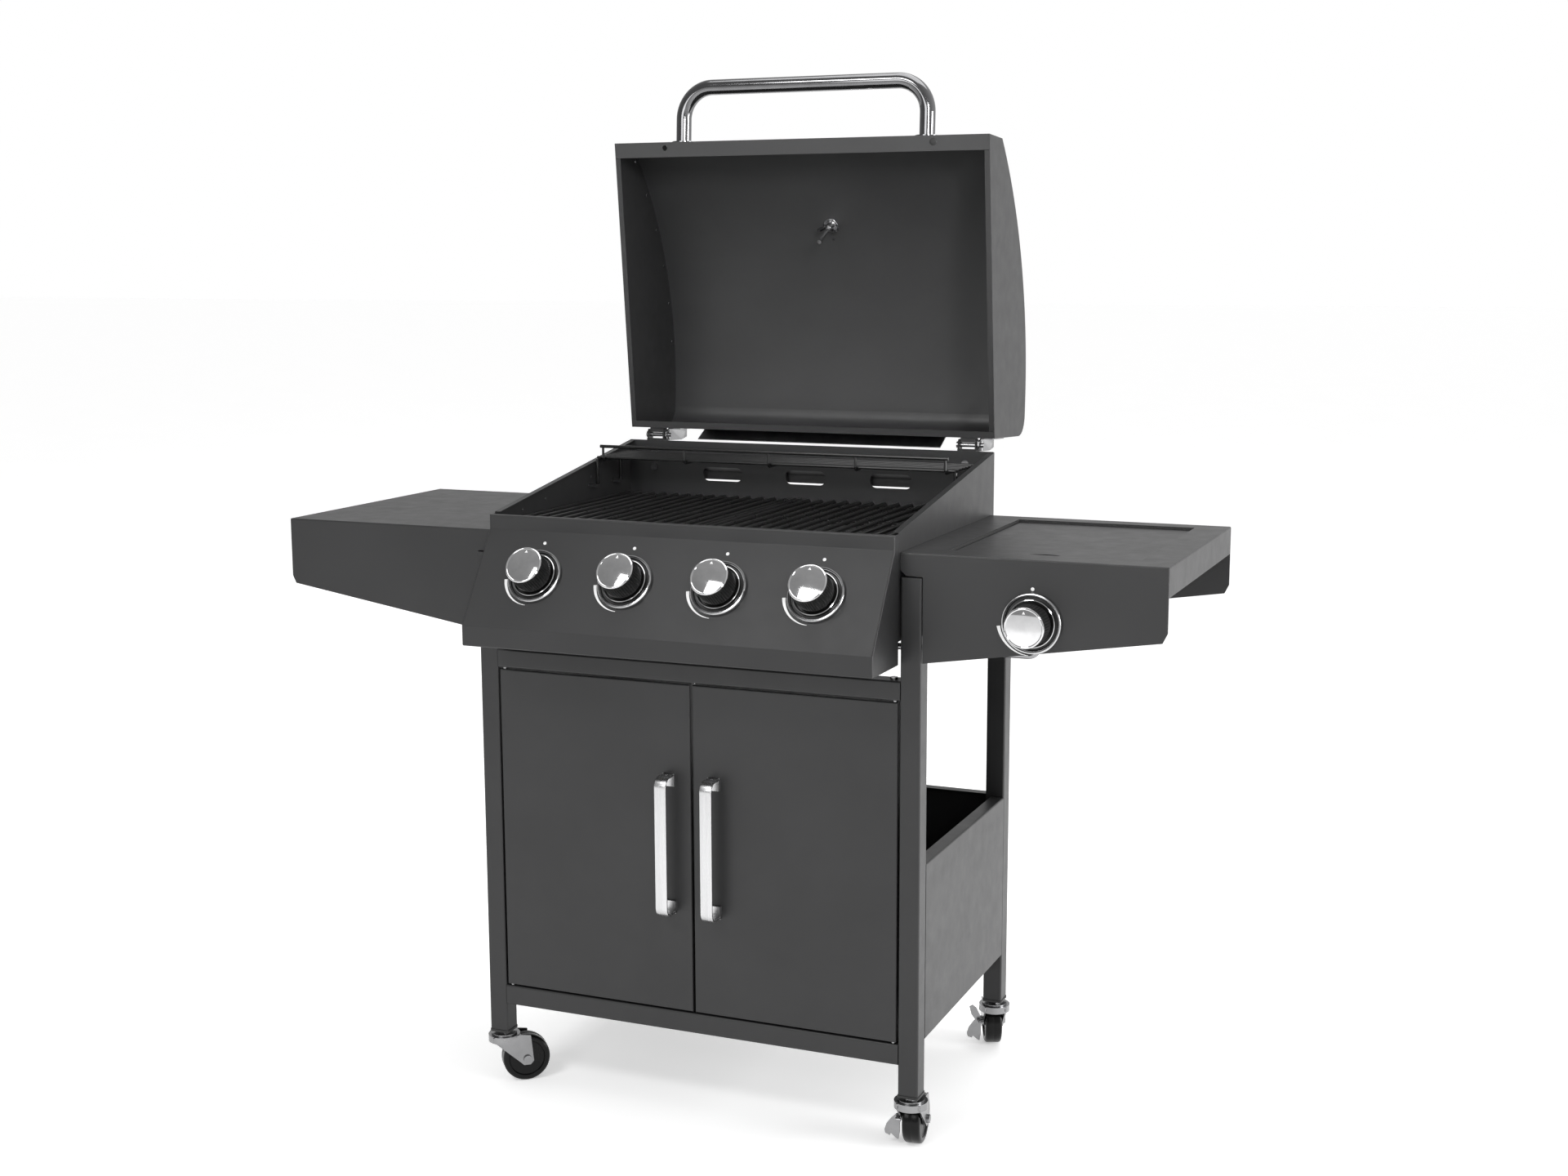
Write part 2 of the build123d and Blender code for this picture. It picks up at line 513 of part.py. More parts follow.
with BuildPart() as right_shelf:
    shelf_shell(1)
    fillet(shelf_folds(right_shelf, 1), FOLD_R)
    block(*RECESS_X, *RECESS_Y, SHELF_TOP - 5, SHELF_TOP + 5, mode=Mode.SUBTRACT)
    rod((SIDE_KNOB[0], SHELF_FRONT - 2, SIDE_KNOB[1]), (SIDE_KNOB[0], SHELF_FRONT + 4, SIDE_KNOB[1]), 7,
        mode=Mode.SUBTRACT)
finish(right_shelf.part, "right_shelf")

BOWL_FLOOR = 692.0
COVER_PIVOT = (147.0, 738.6)
with BuildPart() as bowl:
    rim_top = SHELF_TOP - SHEET
    block(RECESS_X[0] - 9, RECESS_X[1] + 9, RECESS_Y[0] - 9, RECESS_Y[1] + 9, rim_top - SHEET, rim_top)
    block(*RECESS_X, *RECESS_Y, BOWL_FLOOR, rim_top)
    block(RECESS_X[0] + SHEET, RECESS_X[1] - SHEET, RECESS_Y[0] + SHEET, RECESS_Y[1] - SHEET,
          BOWL_FLOOR + SHEET, rim_top + 2, mode=Mode.SUBTRACT)
    for side in (0, 1):
        # pins the burner cover swings on
        wall = RECESS_X[side] + (SHEET if side == 0 else -SHEET)
        tip = wall + (6 if side == 0 else -6)
        rod((wall, *COVER_PIVOT), (tip, *COVER_PIVOT), 1.8)
finish(bowl.part, "side_burner_bowl")

with BuildPart() as cover:
    cover_x = (RECESS_X[0] + SHEET + 1.2, RECESS_X[1] - SHEET - 1.2)
    cover_y = (RECESS_Y[0] + SHEET + 1.0, COVER_PIVOT[0] + 2.6)
    cover_top = SHELF_TOP - 3.5
    block(*cover_x, *cover_y, cover_top - 7.5, cover_top)
    fillet(cover.faces().sort_by(Axis.Z)[-1].edges(), 1.0)
    block(cover_x[0] + SHEET, cover_x[1] - SHEET, cover_y[0] + SHEET, cover_y[1] - SHEET,
          cover_top - 9, cover_top - SHEET, mode=Mode.SUBTRACT)
    rod((cover_x[0] - 1, *COVER_PIVOT), (cover_x[1] + 1, *COVER_PIVOT), 1.85, mode=Mode.SUBTRACT)
    # finger notch in the front edge
    with BuildSketch(Plane.XY.offset(cover_top - 10)) as notch:
        with Locations(((401 + 458) / 2, cover_y[0])):
            Ellipse(28.5, 28)
    extrude(notch.sketch, amount=12, mode=Mode.SUBTRACT)
finish(cover.part, "side_burner_cover")

with BuildPart() as ring_burner:
    rod((*SIDE_BURNER, BOWL_FLOOR + SHEET), (*SIDE_BURNER, 708), 30)
    rod((*SIDE_BURNER, 708), (*SIDE_BURNER, 716), 40)
    rod((*SIDE_BURNER, 716), (*SIDE_BURNER, 721), 34)
    with BuildSketch(Plane.XY.offset(710)) as ports:
        with Locations(SIDE_BURNER):
            with PolarLocations(40, 24):
                Rectangle(6, 2)
    extrude(ports.sketch, amount=7, mode=Mode.SUBTRACT)
finish(ring_burner.part, "side_burner_head")

with BuildPart() as trivet:
    cx, cy = SIDE_BURNER
    with BuildSketch(Plane.XY.offset(728)) as hoop:
        with Locations(SIDE_BURNER):
            Circle(90)
            Circle(84, mode=Mode.SUBTRACT)
    extrude(hoop.sketch, amount=5)
    for turn in (45, 135, 225, 315):
        ux, uy = cos(radians(turn)), sin(radians(turn))
        leg = Plane((cx, cy, 0), x_dir=(ux, uy, 0), z_dir=(uy, -ux, 0))
        finger = [(22, 724), (94, 724), (94, BOWL_FLOOR + SHEET), (98, BOWL_FLOOR + SHEET), (98, 730),
                  (22, 730)]
        prism(leg.offset(-2), finger, 4)
finish(trivet.part, "side_burner_trivet")

# ---------------------------------------------------------------- hood
def hood_profile(inset):
    """Closed hood section, inset from the outer skin, as a face on the YZ plane."""
    cy, cz, radius = HOOD_ARC
    radius = radius - inset
    front = HOOD_FRONT + inset
    rear = BOX_REAR - inset
    corner = HOOD_CORNER - inset
    rear_centre = (BOX_REAR - HOOD_CORNER, cz + HOOD_ARC[2] - HOOD_CORNER)
    front_top = (front, cz + sqrt(radius ** 2 - (front - cy) ** 2))
    crown = (cy, cz + radius)
    half = atan2(front_top[1] - cz, front_top[0] - cy) / 2 + radians(45)
    arc_mid = (cy + radius * cos(half), cz + radius * sin(half))
    shoulder = (rear_centre[0], rear_centre[1] + corner)
    bend = (rear_centre[0] + corner * cos(radians(45)), rear_centre[1] + corner * sin(radians(45)))
    rear_top = (rear, rear_centre[1])
    rim_front = (front, rim_height(front) + HOOD_RIM_GAP - inset)
    rim_rear = (rear, rim_height(rear) + HOOD_RIM_GAP - inset)
    with BuildSketch(Plane.YZ.offset(0)) as face:
        with BuildLine():
            Line(opened(*rim_front), opened(*front_top))
            ThreePointArc(opened(*front_top), opened(*arc_mid), opened(*crown))
            Line(opened(*crown), opened(*shoulder))
            ThreePointArc(opened(*shoulder), opened(*bend), opened(*rear_top))
            Line(opened(*rear_top), opened(*rim_rear))
            Line(opened(*rim_rear), opened(*rim_front))
        make_face()
    return face.sketch


FLANGE_FRONT = 20.0
FLANGE_REAR = 9.0
BUMPER = (194.0, -195.6)
THERMO_OUT = (cos(radians(120.1)), sin(radians(120.1)))
THERMO = (HOOD_ARC[0] + HOOD_ARC[2] * THERMO_OUT[0], HOOD_ARC[1] + HOOD_ARC[2] * THERMO_OUT[1])
HANDLE_X = 177.0
HANDLE_Z = 796.0
HANDLE_REACH = 75.0
HANDLE_R = 10.4


def hood_plane(x, y, z, out):
    """Plane on the open hood at a closed position, with its normal turned too."""
    oy, oz = opened(y, z)
    ty, tz = opened(y + out[0], z + out[1])
    return Plane((x, oy, oz), x_dir=(1, 0, 0), z_dir=(0, ty - oy, tz - oz))


hood_outer = hood_profile(0.0)
hood_inner = hood_profile(SHEET)
wrap_x = HOOD_X - SHEET
with BuildPart() as hood_skin:
    extrude(hood_outer, amount=wrap_x, both=True)
    extrude(hood_inner, amount=wrap_x + 1, both=True, mode=Mode.SUBTRACT)
    # cut the rim open, then add the folded flanges
    mouth = [(HOOD_FRONT + SHEET, 700), (BOX_REAR - SHEET, 700),
             (BOX_REAR - SHEET, rim_height(BOX_REAR) + 4), (HOOD_FRONT + SHEET, rim_height(HOOD_FRONT) + 4)]
    prism(Plane.YZ.offset(-wrap_x - 1), opened_all(mouth), 2 * wrap_x + 2, mode=Mode.SUBTRACT)
    for y0, y1 in ((HOOD_FRONT, HOOD_FRONT + FLANGE_FRONT), (BOX_REAR - FLANGE_REAR, BOX_REAR)):
        low0, low1 = rim_height(y0) + HOOD_RIM_GAP, rim_height(y1) + HOOD_RIM_GAP
        strip = [(y0, low0), (y1, low1), (y1, low1 + SHEET), (y0, low0 + SHEET)]
        prism(Plane.YZ.offset(-wrap_x), opened_all(strip), 2 * wrap_x)
    for side in (-1, 1):
        spot = hood_plane(side * BUMPER[0], BUMPER[1], rim_height(BUMPER[1]) + 1, (0, 1))
        with BuildSketch(spot.offset(-2)) as hole:
            Circle(3.6)
        extrude(hole.sketch, amount=6, mode=Mode.SUBTRACT)
        foot = hood_plane(side * HANDLE_X, HOOD_FRONT, HANDLE_Z, (-1, 0))
        with BuildSketch(foot.offset(-4)) as hole:
            Circle(3.2)
        extrude(hole.sketch, amount=8, mode=Mode.SUBTRACT)
    with BuildSketch(hood_plane(0, *THERMO, THERMO_OUT).offset(-6)) as hole:
        Circle(4.2)
    extrude(hole.sketch, amount=12, mode=Mode.SUBTRACT)
finish(hood_skin.part, "hood_skin")

with BuildPart() as hood_ends:
    for side in (-1, 1):
        with BuildPart(mode=Mode.PRIVATE) as cheek:
            extrude(hood_outer, amount=SHEET)
        start = wrap_x if side > 0 else -HOOD_X
        add(cheek.part.moved(Location((start, 0, 0))))
        rims = hood_ends.faces().sort_by(Axis.X)
        fillet((rims[-1] if side > 0 else rims[0]).edges(), 0.9)
        y0, y1 = HOOD_FRONT + FLANGE_FRONT + 0.5, BOX_REAR - FLANGE_REAR - 0.5
        low0, low1 = rim_height(y0) + HOOD_RIM_GAP, rim_height(y1) + HOOD_RIM_GAP
        strip = [(y0, low0), (y1, low1), (y1, low1 + SHEET), (y0, low0 + SHEET)]
        flange_x = HOOD_X - SHEET - 6.5 if side > 0 else -HOOD_X + SHEET
        prism(Plane.YZ.offset(flange_x), opened_all(strip), 6.5)
finish(hood_ends.part, "hood_end_caps")

with BuildPart() as hood_handle:
    bar_y = HOOD_FRONT - HANDLE_REACH
    feet = [(side * HANDLE_X, *opened(HOOD_FRONT - 2.2, HANDLE_Z)) for side in (-1, 1)]
    bar = [(side * HANDLE_X, *opened(bar_y, HANDLE_Z)) for side in (-1, 1)]
    bent_rod([feet[0], bar[0], bar[1], feet[1]], 42, HANDLE_R)
    for side in (-1, 1):
        foot = hood_plane(side * HANDLE_X, HOOD_FRONT, HANDLE_Z, (-1, 0))
        with BuildSketch(foot) as rose:
            Circle(16)
        extrude(rose.sketch, amount=2.6)
finish(hood_handle.part, "hood_handle")

with BuildPart() as gauge:
    seat = hood_plane(0, *THERMO, THERMO_OUT)
    with BuildSketch(seat.offset(0.05)) as case:
        Circle(30)
    extrude(case.sketch, amount=13)
    with BuildSketch(seat.offset(0.05 + 11)) as glass:
        Circle(26)
    extrude(glass.sketch, amount=3, mode=Mode.SUBTRACT)
    with BuildSketch(seat.offset(-52)) as probe:
        Circle(3.0)
    extrude(probe.sketch, amount=56)
finish(gauge.part, "hood_thermometer")

with BuildPart() as wing_nut:
    with BuildSketch(seat.offset(-3.1)) as washer:
        Circle(11)
        Circle(3.1, mode=Mode.SUBTRACT)
    extrude(washer.sketch, amount=1.6)
    with BuildSketch(seat.offset(-13)) as hub:
        Circle(6)
        Circle(3.1, mode=Mode.SUBTRACT)
    extrude(hub.sketch, amount=10.05)
    for side in (-1, 1):
        with BuildSketch(seat.offset(-15)) as wing:
            with Locations((side * 10.5, 0)):
                Rectangle(10, 2.2)
        extrude(wing.sketch, amount=9)
finish(wing_nut.part, "thermometer_wing_nut")

with BuildPart() as baffle:
    vane = [(BOX_REAR, 893), (BOX_REAR, 905), (BOX_REAR + SHEET, 905), (BOX_REAR + SHEET, 893.6),
            (206.4, 867.6), (205.4, 867)]
    prism(Plane.YZ.offset(-183), opened_all(vane), 366)
finish(baffle.part, "hood_rear_baffle")

# ---------------------------------------------------------------- hood hinges
PIN_R = 3.0
ARM_X0 = 15.0              # arm plate starts this far to the right of a bracket's middle
with BuildPart() as hinge_arms:
    for side in (-1, 1):
        x0 = side * HINGE_X + ARM_X0
        web = [(BOX_REAR, 842), (BOX_REAR, 898), (204, 898), (HINGE_Y + 8, 880), (HINGE_Y + 8, HINGE_Z),
               (HINGE_Y + 5.5, HINGE_Z - 5.6), (HINGE_Y, HINGE_Z - 8), (HINGE_Y - 5.6, HINGE_Z - 5.6),
               (HINGE_Y - 7.6, HINGE_Z)]
        prism(Plane.YZ.offset(x0), opened_all(web), 2.2)
        foot = [(BOX_REAR, 846), (BOX_REAR, 898), (BOX_REAR + 2, 898), (BOX_REAR + 2, 846)]
        prism(Plane.YZ.offset(x0), opened_all(foot), 16)
        rod((x0 - 1, HINGE_Y, HINGE_Z), (x0 + 4, HINGE_Y, HINGE_Z), PIN_R + 0.05, mode=Mode.SUBTRACT)
        # stop block that turns between the bracket's ears
        stop = [(BOX_REAR, 834), (BOX_REAR, 846), (HINGE_Y - 3.4, 844), (HINGE_Y - 3.4, 834)]
        prism(Plane.YZ.offset(side * HINGE_X - 10.4), opened_all(stop), 20.8)
finish(hinge_arms.part, "hood_hinge_arms")

with BuildPart() as hinge_brackets:
    for side in (-1, 1):
        x = side * HINGE_X
        block(x - 13, x + 13, BOX_REAR, BOX_REAR + 1.6, 780, 828)
        block(x - 13, x + 13, BOX_REAR + 1.6, BOX_REAR + 2.8, 822, 832.6)
        for ear in (-1, 1):
            x0 = x - 13 if ear < 0 else x + 13 - 2
            web = [(BOX_REAR, 828), (BOX_REAR, 784), (BOX_REAR + 8, 790), (HINGE_Y + 7, 826),
                   (HINGE_Y + 7, 841), (HINGE_Y + 4, 845), (HINGE_Y - 4, 845), (HINGE_Y - 7, 842),
                   (HINGE_Y - 7, 832)]
            prism(Plane.YZ.offset(x0), web, 2)
        rod((x - 14, HINGE_Y, HINGE_Z), (x + 14, HINGE_Y, HINGE_Z), PIN_R + 0.05, mode=Mode.SUBTRACT)
        for bolt_z in (792.0, 812.0):
            rod((x, BOX_REAR - 3, bolt_z), (x, BOX_REAR + 3, bolt_z), 3.2, mode=Mode.SUBTRACT)
finish(hinge_brackets.part, "hood_hinge_brackets")

# ---------------------------------------------------------------- doors
DOOR_Z = (141.5, 566.0)
DOOR_THICK = 14.0
DOOR_OUT = 271.5
DOOR_IN = 1.5
DOOR_PIVOT = (266.5, -183.5)
PULL_X = 31.0
PULL_Z = (270.0, 451.0)
PULL_OUT = 28.0
for name, side in (("left", -1), ("right", 1)):
    with BuildPart() as door:
        x0, x1 = sorted((side * DOOR_OUT, side * DOOR_IN))
        block(x0, x1, -CART_Y, -CART_Y + DOOR_THICK, *DOOR_Z)
        fillet(door.faces().sort_by(Axis.Y)[0].edges(), FOLD_R)
        inner_x = sorted((side * (DOOR_OUT - SHEET), side * (DOOR_IN + SHEET)))
        block(*inner_x, -CART_Y + SHEET, -CART_Y + DOOR_THICK + 1, DOOR_Z[0] + SHEET, DOOR_Z[1] - SHEET,
              mode=Mode.SUBTRACT)
        for z0, z1 in ((DOOR_Z[0] - 1, DOOR_Z[0] + 2), (DOOR_Z[1] - 2, DOOR_Z[1] + 1)):
            rod((side * DOOR_PIVOT[0], DOOR_PIVOT[1], z0), (side * DOOR_PIVOT[0], DOOR_PIVOT[1], z1),
                3.05, mode=Mode.SUBTRACT)
    finish(door.part, f"door_{name}")

    with BuildPart() as pull:
        with BuildSketch(Plane.YZ.offset(side * PULL_X - 8)) as strap:
            front, back = -CART_Y - PULL_OUT, -CART_Y
            with BuildLine():
                Polyline((back, PULL_Z[0]), (front, PULL_Z[0]), (front, PULL_Z[1]), (back, PULL_Z[1]),
                         (back, PULL_Z[1] - 16), (back - 3, PULL_Z[1] - 16), (back - 3, PULL_Z[1] - 3),
                         (front + 3, PULL_Z[1] - 3), (front + 3, PULL_Z[0] + 3), (back - 3, PULL_Z[0] + 3),
                         (back - 3, PULL_Z[0] + 16), (back, PULL_Z[0] + 16), close=True)
            make_face()
            fillet([v for v in strap.vertices() if abs(v.X - front) < 0.1], 13)
            fillet([v for v in strap.vertices() if abs(v.X - front - 3) < 0.1], 10)
        extrude(strap.sketch, amount=16)
    finish(pull.part, f"door_handle_{name}")

# ---------------------------------------------------------------- fasteners
with BuildPart() as fasteners:
    for side_x in (-1, 1):
        for side_y in (-1, 1):
            cx, cy = side_x * (CART_X - TUBE / 2), side_y * (CART_Y - TUBE / 2)
            # caster stem: fixed race, hex nut and threaded rod up into the leg plug
            rod((cx, cy, 66.4), (cx, cy, 68.6), 17)
            with BuildSketch(Plane((cx, cy, 68.6))) as nut:
                RegularPolygon(8.5, 6)
            extrude(nut.sketch, amount=72 - 68.6)
            rod((cx, cy, 59), (cx, cy, 98), 4.0)
            rod((cx, cy, 58), (cx, cy, 60), 7)
            # shelf bolts into the legs
            for bolt_z in (662.0, 700.0):
                rod((side_x * (CART_X - 6), cy, bolt_z), (side_x * (CART_X + 1.6), cy, bolt_z), 3.0)
                rod((side_x * (CART_X + 1.6), cy, bolt_z), (side_x * (CART_X + 5.4), cy, bolt_z), 6.0)
        # door pins
        px, py = side_x * DOOR_PIVOT[0], DOOR_PIVOT[1]
        rod((px, py, LOW_RAIL[1]), (px, py, DOOR_Z[0] + 4), 3.0)
        rod((px, py, DOOR_Z[1] - 4), (px, py, TOP_RAIL[0]), 3.0)
        # hood hinge pin with its clip
        x = side_x * HINGE_X
        rod((x - 16, HINGE_Y, HINGE_Z), (x - 13.4, HINGE_Y, HINGE_Z), 4.6)
        rod((x - 13.4, HINGE_Y, HINGE_Z), (x + 22, HINGE_Y, HINGE_Z), PIN_R)
        rod((x + 18.4, HINGE_Y, HINGE_Z - 7), (x + 18.4, HINGE_Y, HINGE_Z + 7), 1.0)
        # bracket bolts through the firebox wall
        for bolt_z in (792.0, 812.0):
            rod((x, BOX_REAR - SHEET - 3.2, bolt_z), (x, BOX_REAR - SHEET, bolt_z), 5.6)
            rod((x, BOX_REAR - SHEET, bolt_z), (x, BOX_REAR + 1.6, bolt_z), 3.0)
            rod((x, BOX_REAR + 1.6, bolt_z), (x, BOX_REAR + 5, bolt_z), 5.0)
    # screws on top of the front rail
    for x in (-262, 262):
        rod((x, -CART_Y + TUBE / 2, TOP_RAIL[1]), (x, -CART_Y + TUBE / 2, TOP_RAIL[1] + 2.6), 4.6)
finish(fasteners.part, "fasteners")

# ---------------------------------------------------------------- casters
FORK_HALF = WHEEL_W / 2 + 1.6
CUP_R = 21.0
CUP_TOP = 66.2
PEDAL_PIVOT = (TRAIL - 14.0, FORK_HALF + 6.4, 36.0)
for corner, (sign_x, sign_y, trail_angle, brake) in CASTERS.items():
    cx, cy = sign_x * (CART_X - TUBE / 2), sign_y * (CART_Y - TUBE / 2)
    ux, uy = cos(radians(trail_angle)), sin(radians(trail_angle))

    def at(along, across, height):
        """Caster point: along the trail, across it to the left, and up from the floor."""
        return (cx + along * ux - across * uy, cy + along * uy + across * ux, height)

    across_dir = (-uy, ux, 0)
    with BuildPart() as fork:
        # inverted cup over the ball race, open behind where the wheel turns
        with BuildSketch(Plane((cx, cy, CUP_TOP))) as cup:
            Circle(CUP_R)
        extrude(cup.sketch, amount=-2.4)
        with BuildSketch(Plane((cx, cy, CUP_TOP))) as skirt:
            Circle(CUP_R)
            Circle(CUP_R - 1.6, mode=Mode.SUBTRACT)
        extrude(skirt.sketch, amount=-9.0)
        with BuildSketch(Plane((cx, cy, CUP_TOP - 2.4), x_dir=(ux, uy, 0), z_dir=(0, 0, 1))) as rear:
            with Locations((CUP_R + 4, 0)):
                Rectangle(2 * CUP_R, 3 * CUP_R)
        extrude(rear.sketch, amount=-8, mode=Mode.SUBTRACT)
        side_view = Plane((cx, cy, 0), x_dir=(ux, uy, 0), z_dir=across_dir)
        for leg in (-1, 1):
            offset_in = FORK_HALF if leg > 0 else -FORK_HALF - 2
            flip = -1 if side_view.y_dir.Z < 0 else 1
            cheek = [(-17, 65.5), (-17, 60), (TRAIL - 9, WHEEL_R - 4), (TRAIL - 5, WHEEL_R - 8),
                     (TRAIL + 4, WHEEL_R - 8), (TRAIL + 8.5, WHEEL_R - 3), (TRAIL + 5, 63.6),
                     (TRAIL - 8, 65.5)]
            prism(side_view.offset(offset_in), [(a, flip * b) for a, b in cheek], 2)
        roof = [(-17, 63.6), (-17, 65.5), (TRAIL - 8, 65.5), (TRAIL - 8, 63.6)]
        prism(side_view.offset(-FORK_HALF - 2), [(a, flip * b) for a, b in roof], 2 * FORK_HALF + 4)
        with BuildSketch(Plane((cx, cy, 50))) as bore:
            Circle(STEM_R + 0.05)
        extrude(bore.sketch, amount=20, mode=Mode.SUBTRACT)
        rod(at(TRAIL, -FORK_HALF - 5, WHEEL_R), at(TRAIL, FORK_HALF + 5, WHEEL_R), 3.0)
        rod(at(TRAIL, -FORK_HALF - 5, WHEEL_R), at(TRAIL, -FORK_HALF - 2, WHEEL_R), 5.5)
        rod(at(TRAIL, FORK_HALF + 2, WHEEL_R), at(TRAIL, FORK_HALF + 5, WHEEL_R), 5.5)
        if brake:
            # lugs and pin that carry the brake pedal
            a, s, h = PEDAL_PIVOT
            for lug in (-1, 1):
                rod(at(a + lug * 9.2, FORK_HALF + 1, h), at(a + lug * 9.2, s + 1.2, h), 2.2)
            rod(at(a - 11, s, h), at(a + 11, s, h), 1.6)
    finish(fork.part, f"caster_fork_{corner}")

    with BuildPart() as wheel:
        hub_from, hub_to = at(TRAIL, -WHEEL_W / 2, WHEEL_R), at(TRAIL, WHEEL_W / 2, WHEEL_R)
        rod(hub_from, hub_to, WHEEL_R)
        rim_edges = wheel.edges().filter_by(GeomType.CIRCLE)
        fillet(rim_edges, 3.0)
        for side in (-1, 1):
            face_in, face_out = side * (WHEEL_W / 2 - 2.2), side * (WHEEL_W / 2 + 1)
            rod(at(TRAIL, face_in, WHEEL_R), at(TRAIL, face_out, WHEEL_R), 23.5, mode=Mode.SUBTRACT)
            rod(at(TRAIL, face_in, WHEEL_R), at(TRAIL, side * (WHEEL_W / 2 + 1.2), WHEEL_R), 8)
        rod(at(TRAIL, -WHEEL_W, WHEEL_R), at(TRAIL, WHEEL_W, WHEEL_R), 3.05, mode=Mode.SUBTRACT)
    finish(wheel.part, f"caster_wheel_{corner}")

    if brake:
        with BuildPart() as pedal:
            a, s, h = PEDAL_PIVOT
            rod(at(a - 6.4, s, h), at(a + 6.4, s, h), 3.2)
            tilt_plane = Plane(at(a, s, h), x_dir=across_dir, z_dir=(ux, uy, 0))
            up = 1 if tilt_plane.y_dir.Z > 0 else -1
            # plate that a toe presses: outwards and down from the pivot, notched at its foot
            toe = [(-2.6, 3.2), (2.5, 3.4), (9.0, -3.0), (14.5, -10.5), (17.0, -18.5), (16.0, -23.0),
                   (10.0, -25.5), (8.6, -22.5), (1.5, -28.5), (-1.0, -29.5), (-1.5, -25.0), (-2.6, -20.0)]
            prism(tilt_plane.offset(-1.4), [(d, up * z) for d, z in toe], 2.8)
            if sign_y > 0:
                heel = [(-1.5, -1.0), (-1.0, 8.0), (4.0, 18.0), (9.0, 22.0), (13.5, 19.5), (11.0, 9.0), (4.0, -1.0)]
                prism(tilt_plane.offset(-1.4), [(d, up * z) for d, z in heel], 2.8)
            rod(at(a - 8, s, h), at(a + 8, s, h), 1.65, mode=Mode.SUBTRACT)
        finish(pedal.part, f"brake_pedal_{corner}")
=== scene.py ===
"""Looks for the gas barbecue grill: materials, small detail pieces, studio and camera."""
import json

import bmesh
import bpy
from math import cos, pi, radians, sin
from mathutils import Matrix, Vector


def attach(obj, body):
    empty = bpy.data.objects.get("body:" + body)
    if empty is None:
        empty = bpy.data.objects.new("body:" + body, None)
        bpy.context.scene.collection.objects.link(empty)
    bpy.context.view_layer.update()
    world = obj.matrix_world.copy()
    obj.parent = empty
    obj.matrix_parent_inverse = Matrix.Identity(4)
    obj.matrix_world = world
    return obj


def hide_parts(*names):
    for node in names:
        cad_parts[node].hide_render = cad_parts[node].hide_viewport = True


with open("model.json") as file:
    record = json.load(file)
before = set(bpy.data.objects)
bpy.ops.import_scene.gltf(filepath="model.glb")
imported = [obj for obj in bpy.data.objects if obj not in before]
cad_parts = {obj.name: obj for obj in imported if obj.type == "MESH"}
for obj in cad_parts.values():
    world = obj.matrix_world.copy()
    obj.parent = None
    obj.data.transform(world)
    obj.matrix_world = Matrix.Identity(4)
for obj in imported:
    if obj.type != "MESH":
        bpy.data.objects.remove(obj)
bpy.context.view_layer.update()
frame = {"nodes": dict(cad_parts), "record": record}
NODES = frame["nodes"]
MM = 0.001
MIDDLE_Y = 28.7            # the cart's middle lies this far in front of the row's origin, mm


def P(x, y, z):
    """A point given in millimetres from the middle of the cart's legs, in the row frame."""
    return Vector((x * MM, (y - MIDDLE_Y) * MM, z * MM))


# ---------------------------------------------------------------- materials
def new_material(name):
    """A new node material with its principled shader."""
    mat = bpy.data.materials.new(name)
    mat.use_nodes = True
    nodes, links = mat.node_tree.nodes, mat.node_tree.links
    return mat, nodes, links, nodes["Principled BSDF"]


def noise(nodes, links, scale, detail=3.0, coords=None):
    """Noise texture, in object coordinates unless others are given."""
    tex = nodes.new("ShaderNodeTexNoise")
    tex.inputs["Scale"].default_value = scale
    tex.inputs["Detail"].default_value = detail
    tex.inputs["Roughness"].default_value = 0.55
    if coords is None:
        coords = nodes.new("ShaderNodeTexCoord").outputs["Object"]
    links.new(coords, tex.inputs["Vector"])
    return tex


def ramp(nodes, links, source, low, high):
    """Blend between two colours over the middle of the source's range."""
    node = nodes.new("ShaderNodeValToRGB")
    for stop, position, colour in zip(node.color_ramp.elements, (0.3, 0.7), (low, high)):
        stop.position = position
        stop.color = (*colour, 1)
    links.new(source, node.inputs["Fac"])
    return node


def spread(nodes, links, source, low, high):
    """Stretch the middle half of a noise value over a range."""
    node = nodes.new("ShaderNodeMapRange")
    node.inputs["From Min"].default_value = 0.25
    node.inputs["From Max"].default_value = 0.75
    node.inputs["To Min"].default_value = low
    node.inputs["To Max"].default_value = high
    links.new(source, node.inputs["Value"])
    return node


def colour_and_gloss(nodes, links, colour_noise, low, high, gloss_noise, rough, bsdf):
    """Drive the base colour and the roughness from two noises."""
    blend = ramp(nodes, links, colour_noise.outputs["Fac"], low, high)
    links.new(blend.outputs["Color"], bsdf.inputs["Base Color"])
    gloss = spread(nodes, links, gloss_noise.outputs["Fac"], *rough)
    links.new(gloss.outputs["Result"], bsdf.inputs["Roughness"])


def bump(nodes, links, source, target, strength, distance, under=None):
    """Bump from a height source, stacked on another bump when one is given."""
    node = nodes.new("ShaderNodeBump")
    node.inputs["Strength"].default_value = strength
    node.inputs["Distance"].default_value = distance
    links.new(source, node.inputs["Height"])
    if under is not None:
        links.new(under.outputs["Normal"], node.inputs["Normal"])
    links.new(node.outputs["Normal"], target.inputs["Normal"])
    return node


